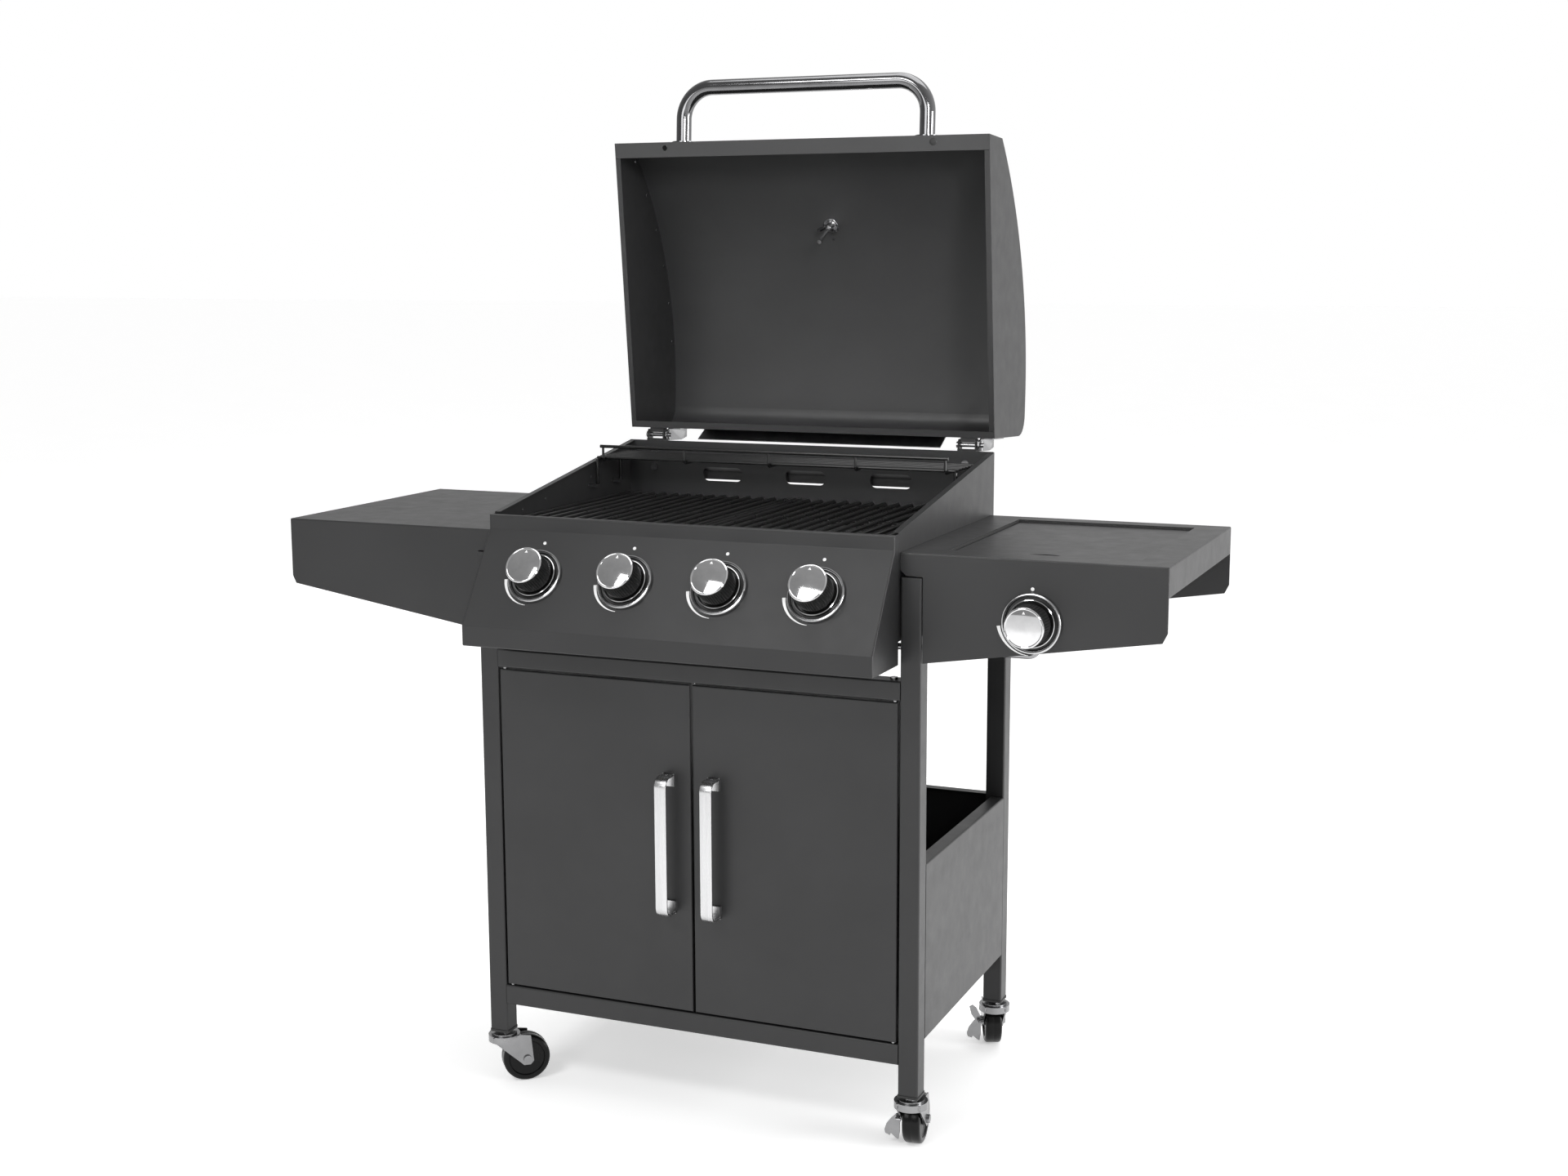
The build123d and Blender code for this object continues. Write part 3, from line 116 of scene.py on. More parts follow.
def powder_coat(name, shade, rough=(0.38, 0.46), grain=1700.0, depth=0.00006, cast=0.12, specular=0.5):
    """Fine orange-peel powder coat with a faint cloudiness."""
    mat, nodes, links, bsdf = new_material(name)
    coords = nodes.new("ShaderNodeTexCoord").outputs["Object"]
    cloud = noise(nodes, links, 6.0, 2.0, coords=coords)
    low = tuple(c * (1 - cast) for c in shade)
    high = tuple(c * (1 + cast) for c in shade)
    patch = noise(nodes, links, 45.0, 4.0, coords=coords)
    colour_and_gloss(nodes, links, cloud, low, high, patch, rough, bsdf)
    peel = noise(nodes, links, grain, 2.0, coords=coords)
    wave = noise(nodes, links, grain / 4.0, 1.0, coords=coords)
    first = bump(nodes, links, wave.outputs["Fac"], bsdf, 0.25, depth * 2)
    bump(nodes, links, peel.outputs["Fac"], bsdf, 0.45, depth, under=first)
    bsdf.inputs["Specular IOR Level"].default_value = specular
    return mat


def metal(name, shade, rough, scratch=0.0, direction=None):
    """Bare or plated metal: chrome when smooth, zinc or brushed steel when rougher."""
    mat, nodes, links, bsdf = new_material(name)
    bsdf.inputs["Metallic"].default_value = 1.0
    coords = nodes.new("ShaderNodeTexCoord").outputs["Object"]
    if direction is not None:
        mapping = nodes.new("ShaderNodeMapping")
        mapping.inputs["Scale"].default_value = direction
        links.new(coords, mapping.inputs["Vector"])
        coords = mapping.outputs["Vector"]
    mottle = noise(nodes, links, 60.0 if direction is None else 400.0, 4.0, coords=coords)
    low = tuple(c * 0.86 for c in shade)
    colour_and_gloss(nodes, links, mottle, low, shade, mottle, rough, bsdf)
    if scratch > 0:
        fine = noise(nodes, links, 900.0, 3.0, coords=coords)
        bump(nodes, links, fine.outputs["Fac"], bsdf, scratch, 0.00005)
    return mat


def plastic(name, shade, rough, strength=0.2, specular=0.5):
    """Moulded plastic, nylon or rubber with a fine grain."""
    mat, nodes, links, bsdf = new_material(name)
    bsdf.inputs["Specular IOR Level"].default_value = specular
    coords = nodes.new("ShaderNodeTexCoord").outputs["Object"]
    cloud = noise(nodes, links, 30.0, 3.0, coords=coords)
    low = tuple(c * 0.8 for c in shade)
    colour_and_gloss(nodes, links, cloud, low, shade, cloud, rough, bsdf)
    fine = noise(nodes, links, 2500.0, 2.0, coords=coords)
    bump(nodes, links, fine.outputs["Fac"], bsdf, strength, 0.00004)
    return mat


def ink(name, shade):
    """Flat printed ink."""
    mat, nodes, links, bsdf = new_material(name)
    blot = noise(nodes, links, 900.0, 3.0)
    low = tuple(c * 0.9 for c in shade)
    links.new(ramp(nodes, links, blot.outputs["Fac"], low, shade).outputs["Color"], bsdf.inputs["Base Color"])
    bsdf.inputs["Roughness"].default_value = 0.55
    return mat


PAINT = powder_coat("painted_sheet", (0.018, 0.018, 0.0185), specular=0.42)
FRAME_PAINT = powder_coat("painted_frame", (0.017, 0.017, 0.0175), rough=(0.36, 0.44), specular=0.42)
# the hood skin gets a lighter copy of the body paint: painted light that brightens its shaded inside
HOOD_PAINT_LIGHTENED = powder_coat("painted_hood", (0.024, 0.024, 0.0245), rough=(0.40, 0.50))
CAP_PAINT = powder_coat("painted_hood_ends", (0.018, 0.018, 0.0185), rough=(0.42, 0.52), specular=0.42)
ENAMEL = powder_coat("firebox_enamel", (0.022, 0.022, 0.022), rough=(0.42, 0.52), grain=1200.0)
GRATE = powder_coat("grate_enamel", (0.008, 0.008, 0.008), rough=(0.26, 0.32), depth=0.000004, specular=0.5)
RACK_ENAMEL = powder_coat("rack_enamel", (0.006, 0.006, 0.006), rough=(0.16, 0.20), depth=0.000004,
                          specular=0.45)
CHROME = metal("chrome", (0.66, 0.66, 0.67), rough=(0.05, 0.08))
# the hood handle's chrome is darkened: painted shade standing in for dark reflections of the room
HANDLE_CHROME_DARKENED = metal("handle_chrome", (0.18, 0.18, 0.184), rough=(0.08, 0.12))
# the bezel rings' chrome is darkened: painted shade that tones down their reflections
RING_CHROME_DARKENED = metal("ring_chrome", (0.50, 0.50, 0.505), rough=(0.10, 0.15))
FACE_CHROME = metal("knob_face", (0.66, 0.66, 0.665), rough=(0.04, 0.07))
SATIN_CHROME = metal("satin_chrome", (0.60, 0.60, 0.605), rough=(0.24, 0.30), scratch=0.12,
                     direction=(1, 1, 0.03))
ZINC = metal("zinc_plate", (0.31, 0.31, 0.315), rough=(0.18, 0.28), scratch=0.1)
STEEL = metal("stainless_tube", (0.52, 0.52, 0.52), rough=(0.26, 0.4), scratch=0.15)
GALVANISED = metal("galvanised_sheet", (0.42, 0.42, 0.43), rough=(0.35, 0.5), scratch=0.1)
BRASS = metal("brass", (0.62, 0.47, 0.22), rough=(0.22, 0.34), scratch=0.1)
BLACK_PLASTIC = plastic("black_plastic", (0.012, 0.012, 0.012), rough=(0.40, 0.50))
KNOB_PLASTIC = plastic("knob_plastic", (0.006, 0.006, 0.006), rough=(0.30, 0.38), strength=0.08)
TYRE = plastic("wheel_nylon", (0.003, 0.003, 0.003), rough=(0.24, 0.30), strength=0.05, specular=0.22)
RUBBER = plastic("bumper_rubber", (0.010, 0.010, 0.010), rough=(0.55, 0.65), strength=0.3)
WHITE_INK = ink("white_print", (0.75, 0.75, 0.75))

NODE_LOOKS = {
    "frame_paint": FRAME_PAINT, "panel_paint": PAINT, "firebox_enamel": ENAMEL, "chromed": CHROME,
    "zinc": ZINC, "steel": STEEL, "galvanised": GALVANISED, "grate_enamel": GRATE, "brass_valve": BRASS,
    "black_plastic": BLACK_PLASTIC, "knob_plastic": KNOB_PLASTIC, "wheel_rubber": TYRE, "gauge_case": CHROME,
}
SPECIAL = {
    "hood_hinge_brackets": FRAME_PAINT, "hood_skin": HOOD_PAINT_LIGHTENED, "hood_end_caps": CAP_PAINT,
    "hood_handle": HANDLE_CHROME_DARKENED, "firebox_side_walls": PAINT, "firebox_rear_wall": PAINT,
    "door_handle_left": SATIN_CHROME, "door_handle_right": SATIN_CHROME, "warming_rack": RACK_ENAMEL,
}
for sub in frame["record"]["subparts"]:
    look = SPECIAL.get(sub["node"], NODE_LOOKS[sub["material_slot"]])
    mesh = NODES[sub["node"]].data
    mesh.materials.clear()
    mesh.materials.append(look)

# ---------------------------------------------------------------- mesh helpers
def make_piece(name, bm, body, mats, smooth=35.0, replaces=()):
    """Turn a bmesh into an object that rides on a body."""
    mesh = bpy.data.meshes.new(name)
    bmesh.ops.recalc_face_normals(bm, faces=bm.faces)
    bm.to_mesh(mesh)
    bm.free()
    for mat in mats:
        mesh.materials.append(mat)
    piece = bpy.data.objects.new(name, mesh)
    bpy.context.scene.collection.objects.link(piece)
    if smooth:
        mesh.shade_smooth()
        mesh.set_sharp_from_angle(angle=radians(smooth))
    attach(piece, body)
    if replaces:
        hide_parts(*replaces)


def basis(origin, normal, right=(1, 0, 0)):
    """Matrix whose Z is the normal and whose X is as near to right as it can be."""
    z = Vector(normal).normalized()
    x = Vector(right)
    x = (x - z * x.dot(z)).normalized()
    y = z.cross(x)
    return Matrix(((x.x, y.x, z.x, origin[0]), (x.y, y.y, z.y, origin[1]), (x.z, y.z, z.z, origin[2]),
                   (0, 0, 0, 1)))


def lathe(bm, place, profile, steps=64, flute=None):
    """Revolve a profile of (radius mm, height mm, material) about the place's Z.

    flute is (first row, last row, count, depth mm): those rows get a ribbed outline.
    """
    rings = []
    for row, (radius, height, _) in enumerate(profile):
        ring = []
        if radius < 1e-6:
            ring = [bm.verts.new(place @ Vector((0, 0, height * MM)))]
        else:
            for i in range(steps):
                turn = 2 * pi * i / steps
                r = radius
                if flute and flute[0] <= row <= flute[1]:
                    r -= flute[3] * (0.5 - 0.5 * cos(turn * flute[2]))
                point = Vector((r * MM * cos(turn), r * MM * sin(turn), height * MM))
                ring.append(bm.verts.new(place @ point))
        rings.append(ring)
    for row in range(len(rings) - 1):
        a, b = rings[row], rings[row + 1]
        for i in range(steps):
            j = (i + 1) % steps
            if len(a) == 1 and len(b) == 1:
                continue
            if len(a) == 1:
                face = bm.faces.new((a[0], b[i], b[j]))
            elif len(b) == 1:
                face = bm.faces.new((a[i], a[j], b[0]))
            else:
                face = bm.faces.new((a[i], a[j], b[j], b[i]))
            face.material_index = profile[row + 1][2]


def slab(bm, place, outline, low, high, material=0):
    """Push an outline (mm, in the place's XY) from one height to another."""
    bottom = [bm.verts.new(place @ Vector((x * MM, y * MM, low * MM))) for x, y in outline]
    top = [bm.verts.new(place @ Vector((x * MM, y * MM, high * MM))) for x, y in outline]
    faces = [bm.faces.new(top), bm.faces.new(list(reversed(bottom)))]
    for i in range(len(outline)):
        j = (i + 1) % len(outline)
        faces.append(bm.faces.new((bottom[i], bottom[j], top[j], top[i])))
    for face in faces:
        face.material_index = material


def disc_outline(radius, steps=32, centre=(0, 0)):
    """Outline of a round disc, for slab."""
    return [(centre[0] + radius * cos(2 * pi * i / steps), centre[1] + radius * sin(2 * pi * i / steps))
            for i in range(steps)]


# ---------------------------------------------------------------- control knobs
FOLD_TOP = Vector((0, -204.0, 750.0))       # folds at the top and foot of the sloping panel
FOLD_LOW = Vector((0, -277.6, 638.0))
KNOB_DOWN = 62.5                            # from the upper fold to the knob centres, along the slope
DOWN = (FOLD_LOW - FOLD_TOP).normalized()
OUT = Vector((0, DOWN.z, -DOWN.y))
KNOB_X = (-187.5, -62.5, 62.5, 187.5)
DIALS = {}
for i, x in enumerate(KNOB_X):
    middle = FOLD_TOP + DOWN * KNOB_DOWN
    DIALS[f"{i + 1}"] = basis(P(x, middle.y, middle.z), OUT)
DIALS["side"] = basis(P(433.0, -186.0, 672.5), (0, -1, 0))

bezel_mesh = bmesh.new()
print_mesh = bmesh.new()
for key, place in DIALS.items():
    knob = bmesh.new()
    lathe(knob, place, [
        (0, 6.4, 0), (21.5, 6.4, 0), (23.2, 7.0, 0), (24.2, 8.2, 0), (24.4, 10.5, 0), (24.0, 26.0, 0),
        (23.6, 31.5, 0), (23.3, 33.0, 0), (23.6, 33.4, 1), (24.0, 34.2, 1), (23.9, 35.2, 1), (23.2, 36.0, 1),
        (22.3, 36.3, 1), (21.8, 36.1, 1), (21.2, 35.7, 1), (18.0, 36.1, 1), (12.0, 36.6, 1), (6.0, 36.85, 1),
        (0, 36.95, 1)], steps=144, flute=(4, 6, 48, 1.1))
    # pointer pressed into the face
    pointer = [(0, 19.4), (-1.9, 16.2), (1.9, 16.2)]
    slab(knob, place, pointer, 36.0, 36.6, 2)
    make_piece(f"dial_{key}_knob", knob, f"dial_{key}",
               [KNOB_PLASTIC, FACE_CHROME, WHITE_INK], replaces=(f"knob_{key}",))
    lathe(bezel_mesh, place, [
        (7.2, 0.15, 1), (36.0, 0.15, 1), (36.0, 2.6, 0), (35.7, 4.4, 0), (34.9, 5.4, 0), (33.7, 5.6, 0),
        (32.6, 5.0, 0), (31.7, 3.6, 0), (31.1, 1.6, 1), (28.9, 1.4, 1), (28.6, 4.6, 0), (28.3, 6.0, 0),
        (27.4, 6.5, 0), (26.4, 6.1, 0), (25.8, 5.0, 0), (25.7, 1.7, 1), (7.2, 1.5, 1), (7.2, 0.15, 1)],
        steps=96)
make_piece("knob_bezel_rings", bezel_mesh, "cart", [RING_CHROME_DARKENED, KNOB_PLASTIC],
           replaces=("knob_bezels",))

PRINT_HEIGHTS = (0.02, 0.10)
SWEEP_FROM, SWEEP_ANGLE, SWEEP_RADIUS = 188, 76, 38.6
for key, place in DIALS.items():
    dot_up = 46.5 if key != "side" else 39.5
    slab(print_mesh, place, disc_outline(2.2, 24, (0, dot_up)), *PRINT_HEIGHTS)
    # tapering sweep that shows high to low
    outer, inner = [], []
    steps = 28
    for i in range(steps + 1):
        turn = radians(SWEEP_FROM + SWEEP_ANGLE * i / steps)
        reach = SWEEP_RADIUS + (0.35 + 3.6 * (1 - i / steps))
        outer.append((reach * cos(turn), reach * sin(turn)))
        inner.append((38.4 * cos(turn), 38.4 * sin(turn)))
    slab(print_mesh, place, outer + list(reversed(inner)), *PRINT_HEIGHTS)
make_piece("panel_prints", print_mesh, "cart", [WHITE_INK], smooth=None)

# ---------------------------------------------------------------- hood details
HINGE = (200.0, 837.0)
SWING = radians(93.1)
ARC_Y, ARC_Z, ARC_R = 140.0, 497.0, 476.0   # the skin's arc on the closed hood
GAUGE_TURN = radians(120.1)
GAUGE_OUT = (cos(GAUGE_TURN), sin(GAUGE_TURN))
GAUGE = (ARC_Y + ARC_R * GAUGE_OUT[0], ARC_Z + ARC_R * GAUGE_OUT[1])


def opened(y, z):
    """A point of the closed hood, turned back about its hinge to the open position."""
    dy, dz = y - HINGE[0], z - HINGE[1]
    return HINGE[0] + dy * cos(SWING) + dz * sin(SWING), HINGE[1] - dy * sin(SWING) + dz * cos(SWING)


def hood_place(x, y, z, out):
    """Frame on the open hood at a closed position, with its normal turned too."""
    oy, oz = opened(y, z)
    ty, tz = opened(y + out[0], z + out[1])
    return basis(P(x, oy, oz), (0, ty - oy, tz - oz))


seat = hood_place(0, *GAUGE, GAUGE_OUT)
nut = bmesh.new()
lathe(nut, seat, [
    (3.15, -1.5, 0), (10.5, -1.5, 0), (11.0, -1.8, 0), (11.0, -2.7, 0), (10.5, -3.1, 0), (7.6, -3.1, 0),
    (7.2, -3.5, 0), (6.6, -8.0, 0), (5.6, -12.2, 0), (4.8, -13.0, 0), (3.15, -13.0, 0), (3.15, -1.5, 0)],
    steps=48)
inward = basis(seat.translation, seat.col[1].xyz)
for side in (-1, 1):
    wing = [(4.4, 4.6), (8.6, 5.2), (12.2, 8.0), (15.0, 12.0), (15.9, 15.4), (14.8, 18.0), (12.4, 18.8),
            (9.8, 17.0), (7.4, 13.4), (4.4, 11.6)]
    wing = [(side * x, y) for x, y in wing]
    slab(nut, inward, wing, -1.2, 1.2)
lathe(nut, seat @ Matrix.Translation((0, 0.021, 0)), [
    (0, -1.1, 0), (1.7, -1.1, 0), (1.7, -2.4, 0), (1.2, -3.0, 0), (0, -3.1, 0)], steps=20)
make_piece("probe_wing_nut", nut, "hood", [ZINC], replaces=("thermometer_wing_nut",))

# rubber bumper in the hole of the hood's front flange
BUMPER_X, BUMPER_Y, BUMPER_Z = 194.0, -195.6, 768.0 + (204.0 - 195.6) * 0.1557 + 1.4
bumper = bmesh.new()
spot = hood_place(BUMPER_X, BUMPER_Y, BUMPER_Z, (0, -1))
lathe(bumper, spot, [(0, 0.9, 0), (2.0, 0.9, 0), (4.4, 0.6, 0), (5.2, 0.0, 0), (5.2, -0.1, 0), (3.4, -0.1, 0),
                     (3.4, -1.6, 0), (5.0, -1.8, 0), (4.0, -3.4, 0), (0, -3.6, 0)], steps=32)
make_piece("hood_bumper", bumper, "hood", [RUBBER])

# dial of the thermometer, on the outside of the hood
TICKS, TICK_STEP, LONG_EVERY, SCALE_START, TICK_END = 31, 9, 5, 225, 22.6
dial = bmesh.new()
lathe(dial, seat, [(0, 11.35, 0), (24.6, 11.35, 0), (25.6, 11.6, 2), (25.9, 12.6, 2), (25.9, 11.1, 2)],
      steps=72)
for i in range(TICKS):
    turn = radians(SCALE_START - TICK_STEP * i)
    start, half = (17.6, 0.55) if i % LONG_EVERY == 0 else (20.2, 0.28)
    c, d = cos(turn), sin(turn)
    tick = [(start * c + half * d, start * d - half * c), (TICK_END * c + half * d, TICK_END * d - half * c),
            (TICK_END * c - half * d, TICK_END * d + half * c), (start * c - half * d, start * d + half * c)]
    slab(dial, seat, tick, 11.36, 11.42, 1)
c, d = cos(radians(SCALE_START)), sin(radians(SCALE_START))
needle = [(-5 * c + 0.9 * d, -5 * d - 0.9 * c), (17 * c, 17 * d), (-5 * c - 0.9 * d, -5 * d + 0.9 * c)]
slab(dial, seat, needle, 11.7, 12.0, 1)
lathe(dial, seat, [(2.2, 11.4, 1), (2.2, 12.2, 1), (1.6, 12.6, 1), (0, 12.7, 1)], steps=24)
make_piece("gauge_dial", dial, "hood", [WHITE_INK, BLACK_PLASTIC, CHROME])

# ---------------------------------------------------------------- door pulls
def strap(bm, line, across, width, thick, round_over):
    """Flat bar with rounded edges that follows a line of points; thick is measured on its inner side."""
    side, low, high = width / 2 - round_over, round_over, thick - round_over
    section = []
    for cu, cv, start in ((side, high, 0), (-side, high, 90), (-side, low, 180), (side, low, 270)):
        for k in range(5):
            turn = radians(start + 22.5 * k)
            section.append((cu + round_over * cos(turn), cv + round_over * sin(turn)))
    rings, last = [], len(line) - 1
    for i, point in enumerate(line):
        ahead = (line[min(i + 1, last)] - line[max(i - 1, 0)]).normalized()
        inner = ahead.cross(across)
        rings.append([bm.verts.new(point + across * (u * MM) + inner * (v * MM)) for u, v in section])
    for low, high in zip(rings, rings[1:]):
        for k in range(len(section)):
            m = (k + 1) % len(section)
            bm.faces.new((low[k], low[m], high[m], high[k]))
    bm.faces.new(rings[0])
    bm.faces.new(list(reversed(rings[-1])))


PULL_X, PULL_LOW, PULL_HIGH, PULL_FRONT, PULL_BACK = 31.0, 270.0, 451.0, -217.0, -189.0
BEND, PULL_WIDE, PULL_THICK, PULL_ROUND = 13.0, 16.0, 3.0, 1.1
for side, name in ((-1, "left"), (1, "right")):
    outline = [(PULL_BACK - 0.02, PULL_LOW)]
    for cz, start in ((PULL_LOW + BEND, 270), (PULL_HIGH - BEND, 180)):
        turns = [radians(start - 9 * k) for k in range(11)]
        outline += [(PULL_FRONT + BEND + BEND * cos(turn), cz + BEND * sin(turn)) for turn in turns]
    outline.append((PULL_BACK - 0.02, PULL_HIGH))
    pull = bmesh.new()
    strap(pull, [P(side * PULL_X, y, z) for y, z in outline], Vector((1, 0, 0)), PULL_WIDE, PULL_THICK,
          PULL_ROUND)
    for z in (PULL_LOW + 8.0, PULL_HIGH - 8.0):
        flange = basis(P(side * PULL_X, PULL_BACK, z), (0, -1, 0))
        slab(pull, flange, [(-8, -8), (8, -8), (8, 8), (-8, 8)], 0.0, PULL_THICK)
    make_piece(f"pull_{name}", pull, f"{name}_door", [SATIN_CHROME], smooth=32.0,
               replaces=(f"door_handle_{name}",))

# hinge arms: zinc plates, with the block between each bracket's ears painted
arms = bmesh.new()
arms.from_mesh(NODES["hood_hinge_arms"].data)
bmesh.ops.remove_doubles(arms, verts=arms.verts, dist=0.00001)
BLOCK_X, BLOCK_HALF = 232.5, 10.8
for face in arms.faces:
    across = abs(abs(face.calc_center_median().x) - BLOCK_X * MM)
    face.material_index = 1 if across < BLOCK_HALF * MM else 0
make_piece("hinge_arm_plates", arms, "hood", [ZINC, FRAME_PAINT], smooth=30.0,
           replaces=("hood_hinge_arms",))

# nubs where the grate bars are welded to their cross wires
BAR_FIRST, BAR_PITCH, BARS, BAR_TOP = 16.3, 18.65, 14, 755.0
CROSS_WIRE_Y = (-176.0, -11.0, 154.0)
nubs = bmesh.new()
for side in (-1, 1):
    for i in range(BARS):
        x = side * (BAR_FIRST + BAR_PITCH * i)
        for y in CROSS_WIRE_Y:
            for edge in (-1, 1):
                place = basis(P(x + edge * 2.3, y, BAR_TOP), (edge, 0, 0.6))
                lathe(nubs, place, [(1.9, -0.6, 0), (1.7, 0.5, 0), (1.0, 1.1, 0), (0, 1.3, 0)], steps=10)
make_piece("grate_welds", nubs, "cart", [GRATE])
# weld dots on the firebox walls
dots = bmesh.new()
for side in (-1, 1):
    for y, z in ((102.0, 802.0), (68.0, 787.0), (-60.0, 772.0), (-120.0, 764.0), (160.0, 700.0)):
        place = basis(P(side * 270.8, y, z), (-side, 0, 0), (0, 1, 0))
        lathe(dots, place, [(2.6, 0, 0), (2.2, 0.35, 0), (1.2, 0.5, 0), (0, 0.55, 0)], steps=20)
make_piece("firebox_weld_dots", dots, "cart", [PAINT])
# weld dots inside the hood's end caps, beside the skin
CHEEK_X, DOT_RADIUS = 269.85, 467.0
cheek_dots = bmesh.new()
for side in (-1, 1):
    for turn in (134.0, 127.0, 120.0, 113.0, 106.0, 99.0):
        oy, oz = opened(ARC_Y + DOT_RADIUS * cos(radians(turn)), ARC_Z + DOT_RADIUS * sin(radians(turn)))
        place = basis(P(side * CHEEK_X, oy, oz), (-side, 0, 0), (0, 1, 0))
        lathe(cheek_dots, place, [(2.4, 0, 0), (2.0, 0.4, 0), (1.1, 0.6, 0), (0, 0.65, 0)], steps=20)
make_piece("hood_weld_dots", cheek_dots, "hood", [ZINC])

# screw heads in the top and bottom of the pulls
for side, name in ((-1, "left"), (1, "right")):
    heads = bmesh.new()
    for z, up in ((PULL_HIGH, 1), (PULL_LOW, -1)):
        spot = basis(P(side * PULL_X, PULL_BACK - 7.5, z), (0, 0, up))
        lathe(heads, spot, [(0, -0.5, 0), (2.6, -0.5, 0), (2.6, 0.3, 0), (1.8, 0.8, 0), (0, 0.9, 0)],
              steps=24)
    make_piece(f"pull_screws_{name}", heads, f"{name}_door", [ZINC])

# ---------------------------------------------------------------- caster wheels
TRAIL, WHEEL_R = 28.0, 31.4
STEM_X, STEM_Y = 287.0, 176.0
CASTERS = {"front_left": (-1, -1, 40.0), "front_right": (1, -1, 96.0), "rear_left": (-1, 1, 200.0),
           "rear_right": (1, 1, 113.0)}
for corner, (sx, sy, angle) in CASTERS.items():
    ux, uy = cos(radians(angle)), sin(radians(angle))
    hub = basis(P(sx * STEM_X + TRAIL * ux, sy * STEM_Y + TRAIL * uy, WHEEL_R), (-uy, ux, 0), (ux, uy, 0))
    half = [(3.05, 12.6, 0), (6.4, 12.6, 0), (7.6, 12.2, 0), (8.0, 11.4, 0), (8.3, 9.6, 0), (9.2, 9.3, 0),
            (21.6, 9.3, 0), (22.9, 9.6, 0), (23.6, 10.7, 0), (24.2, 11.4, 0), (26.4, 11.5, 0),
            (28.4, 11.3, 0), (29.9, 10.5, 0), (31.0, 9.2, 0), (31.35, 7.4, 0), (31.4, 5.0, 0),
            (31.4, 0.35, 0), (31.25, 0, 0)]
    wheel = bmesh.new()
    lathe(wheel, hub, half + [(r, -h, 0) for r, h, _ in reversed(half[:-1])] + [(3.05, 12.6, 0)], steps=96)
    bmesh.ops.remove_doubles(wheel, verts=wheel.verts, dist=0.000001)
    make_piece(f"wheel_tread_{corner}", wheel, f"wheel_{corner}", [TYRE],
               replaces=(f"caster_wheel_{corner}",))

# ---------------------------------------------------------------- studio
def area(name, place, target, size, power, spread=180.0):
    """A rectangular lamp that points at a target; spread is its cone in degrees."""
    data = bpy.data.lights.new(name, "AREA")
    data.shape = "RECTANGLE"
    data.size, data.size_y = size
    data.energy = power
    data.spread = radians(spread)
    light = bpy.data.objects.new(name, data)
    light.location = place
    light.rotation_euler = (Vector(target) - Vector(place)).to_track_quat("-Z", "Y").to_euler()
    bpy.context.scene.collection.objects.link(light)


area("key_right", (3.9, 0.3, 0.95), (0.2, 0, 0.5), (1.6, 1.6), 112)
area("hood_soft", (-0.4, -3.2, 1.6), (0.05, 0.1, 1.10), (1.6, 1.0), 20)
area("hood_fill", (1.7, -2.4, 1.9), (-0.1, 0.2, 1.06), (0.7, 0.7), 1.9, spread=22.0)
area("panel_soft", (-0.75, -2.5, 2.9), (0, -0.25, 0.7), (1.1, 0.6), 28)
area("ceiling_panel", (0.2, 0.4, 3.4), (0, 0, 0.5), (2.4, 2.4), 46)

world = bpy.data.worlds.new("studio")
bpy.context.scene.world = world
world.use_nodes = True
sky_nodes, sky_links = world.node_tree.nodes, world.node_tree.links
backdrop = sky_nodes["Background"]


def sky_range(source, low, high):
    """Brightness that runs from low to high as one part of the direction goes from -1 to 1."""
    node = sky_nodes.new("ShaderNodeMapRange")
    node.interpolation_type = "SMOOTHSTEP"
    node.inputs["From Min"].default_value = -1.0
    node.inputs["From Max"].default_value = 1.0
    node.inputs["To Min"].default_value = low
    node.inputs["To Max"].default_value = high
    sky_links.new(source, node.inputs["Value"])
    return node.outputs["Result"]


def sky_math(kind, first, second):
    """One math node between two values of the sky."""
    node = sky_nodes.new("ShaderNodeMath")
    node.operation = kind
    sky_links.new(first, node.inputs[0])
    sky_links.new(second, node.inputs[1])
    return node.outputs["Value"]


# the room is white behind the grill and darker in front, where the photographer stands
direction = sky_nodes.new("ShaderNodeSeparateXYZ")
sky_links.new(sky_nodes.new("ShaderNodeTexCoord").outputs["Generated"], direction.inputs["Vector"])
room = sky_math("MULTIPLY", sky_range(direction.outputs["X"], 0.55, 1.15),
                sky_range(direction.outputs["Y"], 0.46, 1.0))
seen = sky_nodes.new("ShaderNodeLightPath").outputs["Is Camera Ray"]
sky_links.new(sky_math("MAXIMUM", room, seen), backdrop.inputs["Strength"])
backdrop.inputs["Color"].default_value = (1, 1, 1, 1)

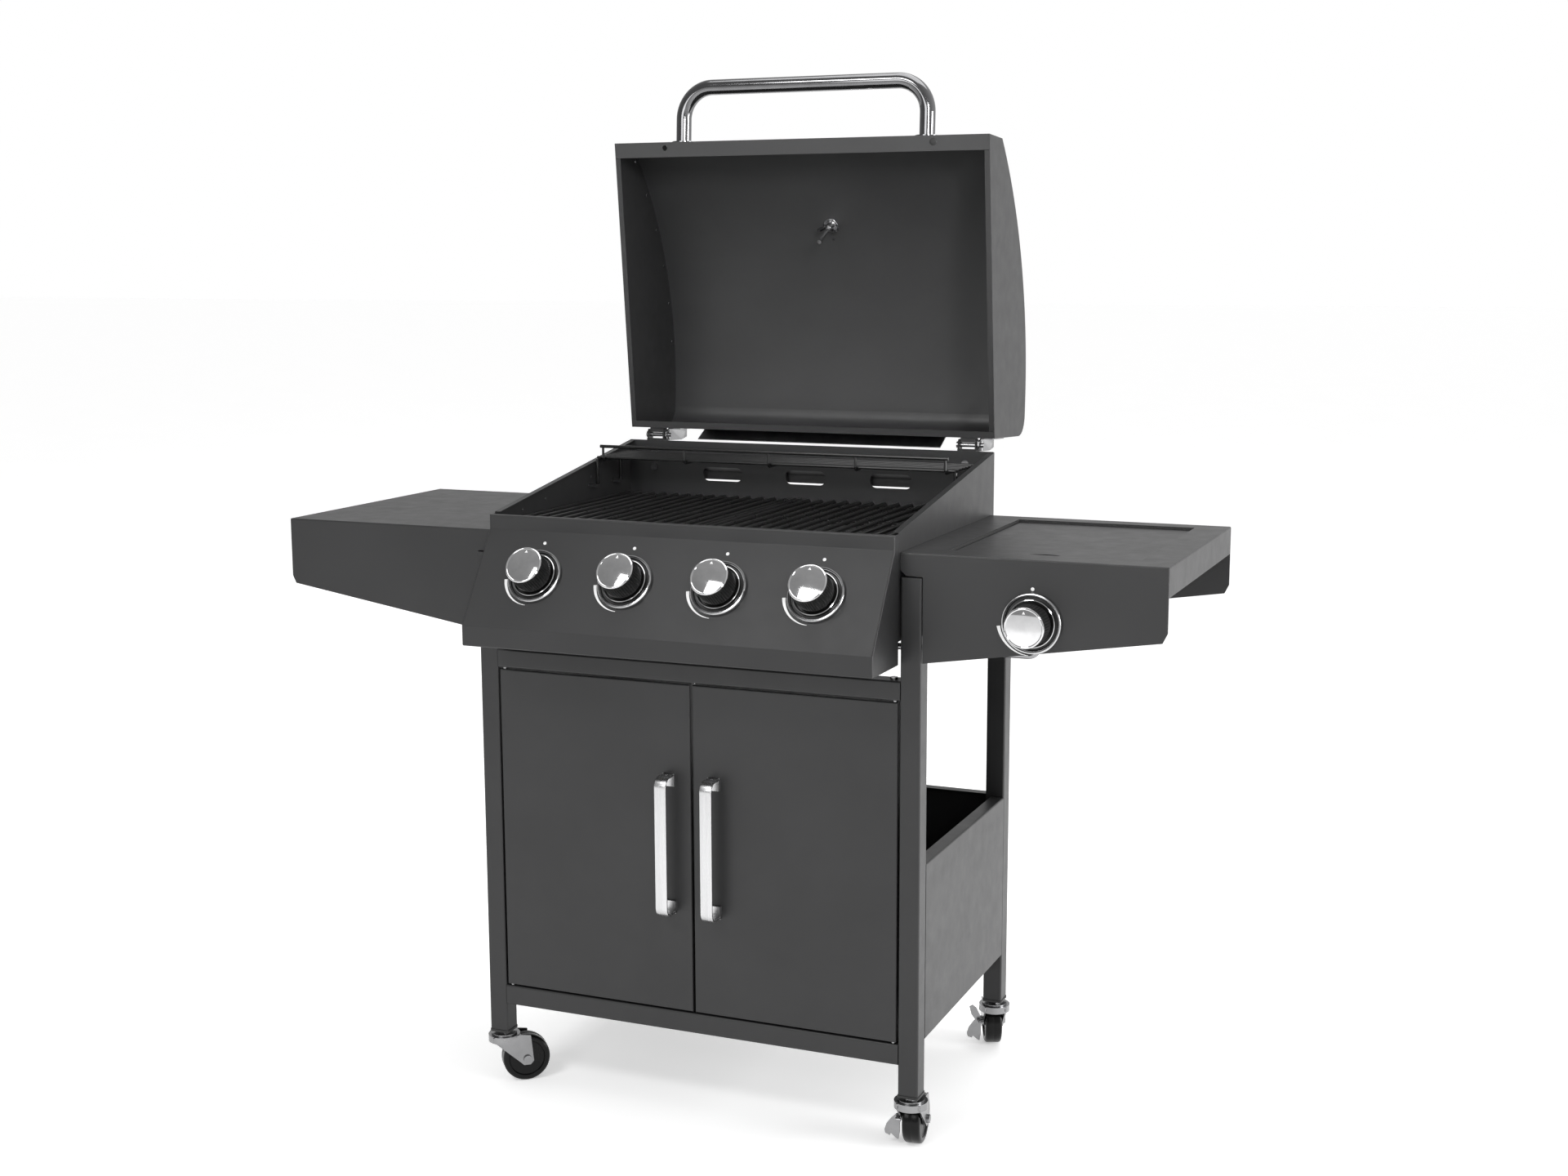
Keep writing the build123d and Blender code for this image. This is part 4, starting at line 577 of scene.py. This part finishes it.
FLOOR_HALF = 40000.0
floor_mesh = bmesh.new()
slab(floor_mesh, Matrix.Identity(4), [(-FLOOR_HALF, -FLOOR_HALF), (FLOOR_HALF, -FLOOR_HALF),
                                      (FLOOR_HALF, FLOOR_HALF), (-FLOOR_HALF, FLOOR_HALF)], -20, -0.2)
mesh = bpy.data.meshes.new("floor")
floor_mesh.to_mesh(mesh)
floor_mesh.free()
floor = bpy.data.objects.new("floor", mesh)
bpy.context.scene.collection.objects.link(floor)
mat, nodes, links, bsdf = new_material("studio_floor")
speck = noise(nodes, links, 3.0, 2.0)
links.new(ramp(nodes, links, speck.outputs["Fac"], (0.93, 0.93, 0.93), (0.95, 0.95, 0.95)).outputs["Color"],
          bsdf.inputs["Base Color"])
bsdf.inputs["Roughness"].default_value = 0.9
bsdf.inputs["Emission Color"].default_value = (1, 1, 1, 1)
bsdf.inputs["Emission Strength"].default_value = 0.40
mesh.materials.append(mat)

# ---------------------------------------------------------------- camera
AZIMUTH, ELEVATION, ROLL = radians(22.72), radians(9.36), radians(-0.19)
forward = Vector((-sin(AZIMUTH) * cos(ELEVATION), cos(AZIMUTH) * cos(ELEVATION), -sin(ELEVATION)))
right = Vector((cos(AZIMUTH), sin(AZIMUTH), 0))
up = right.cross(forward)
right, up = right * cos(ROLL) + up * sin(ROLL), up * cos(ROLL) - right * sin(ROLL)
eye = P(1055.8, -2410.4, 1092.3)
camera_data = bpy.data.cameras.new("camera")
SENSOR, FOCAL_OVER_WIDTH = 36.0, 2485.0 / 1920.0
camera_data.sensor_width = SENSOR
camera_data.lens = FOCAL_OVER_WIDTH * SENSOR
camera = bpy.data.objects.new("camera", camera_data)
camera.matrix_world = Matrix(((right.x, up.x, -forward.x, eye.x), (right.y, up.y, -forward.y, eye.y),
                              (right.z, up.z, -forward.z, eye.z), (0, 0, 0, 1)))
bpy.context.scene.collection.objects.link(camera)
bpy.context.scene.camera = camera
bpy.context.scene.view_settings.view_transform = "Standard"

bpy.context.view_layer.update()
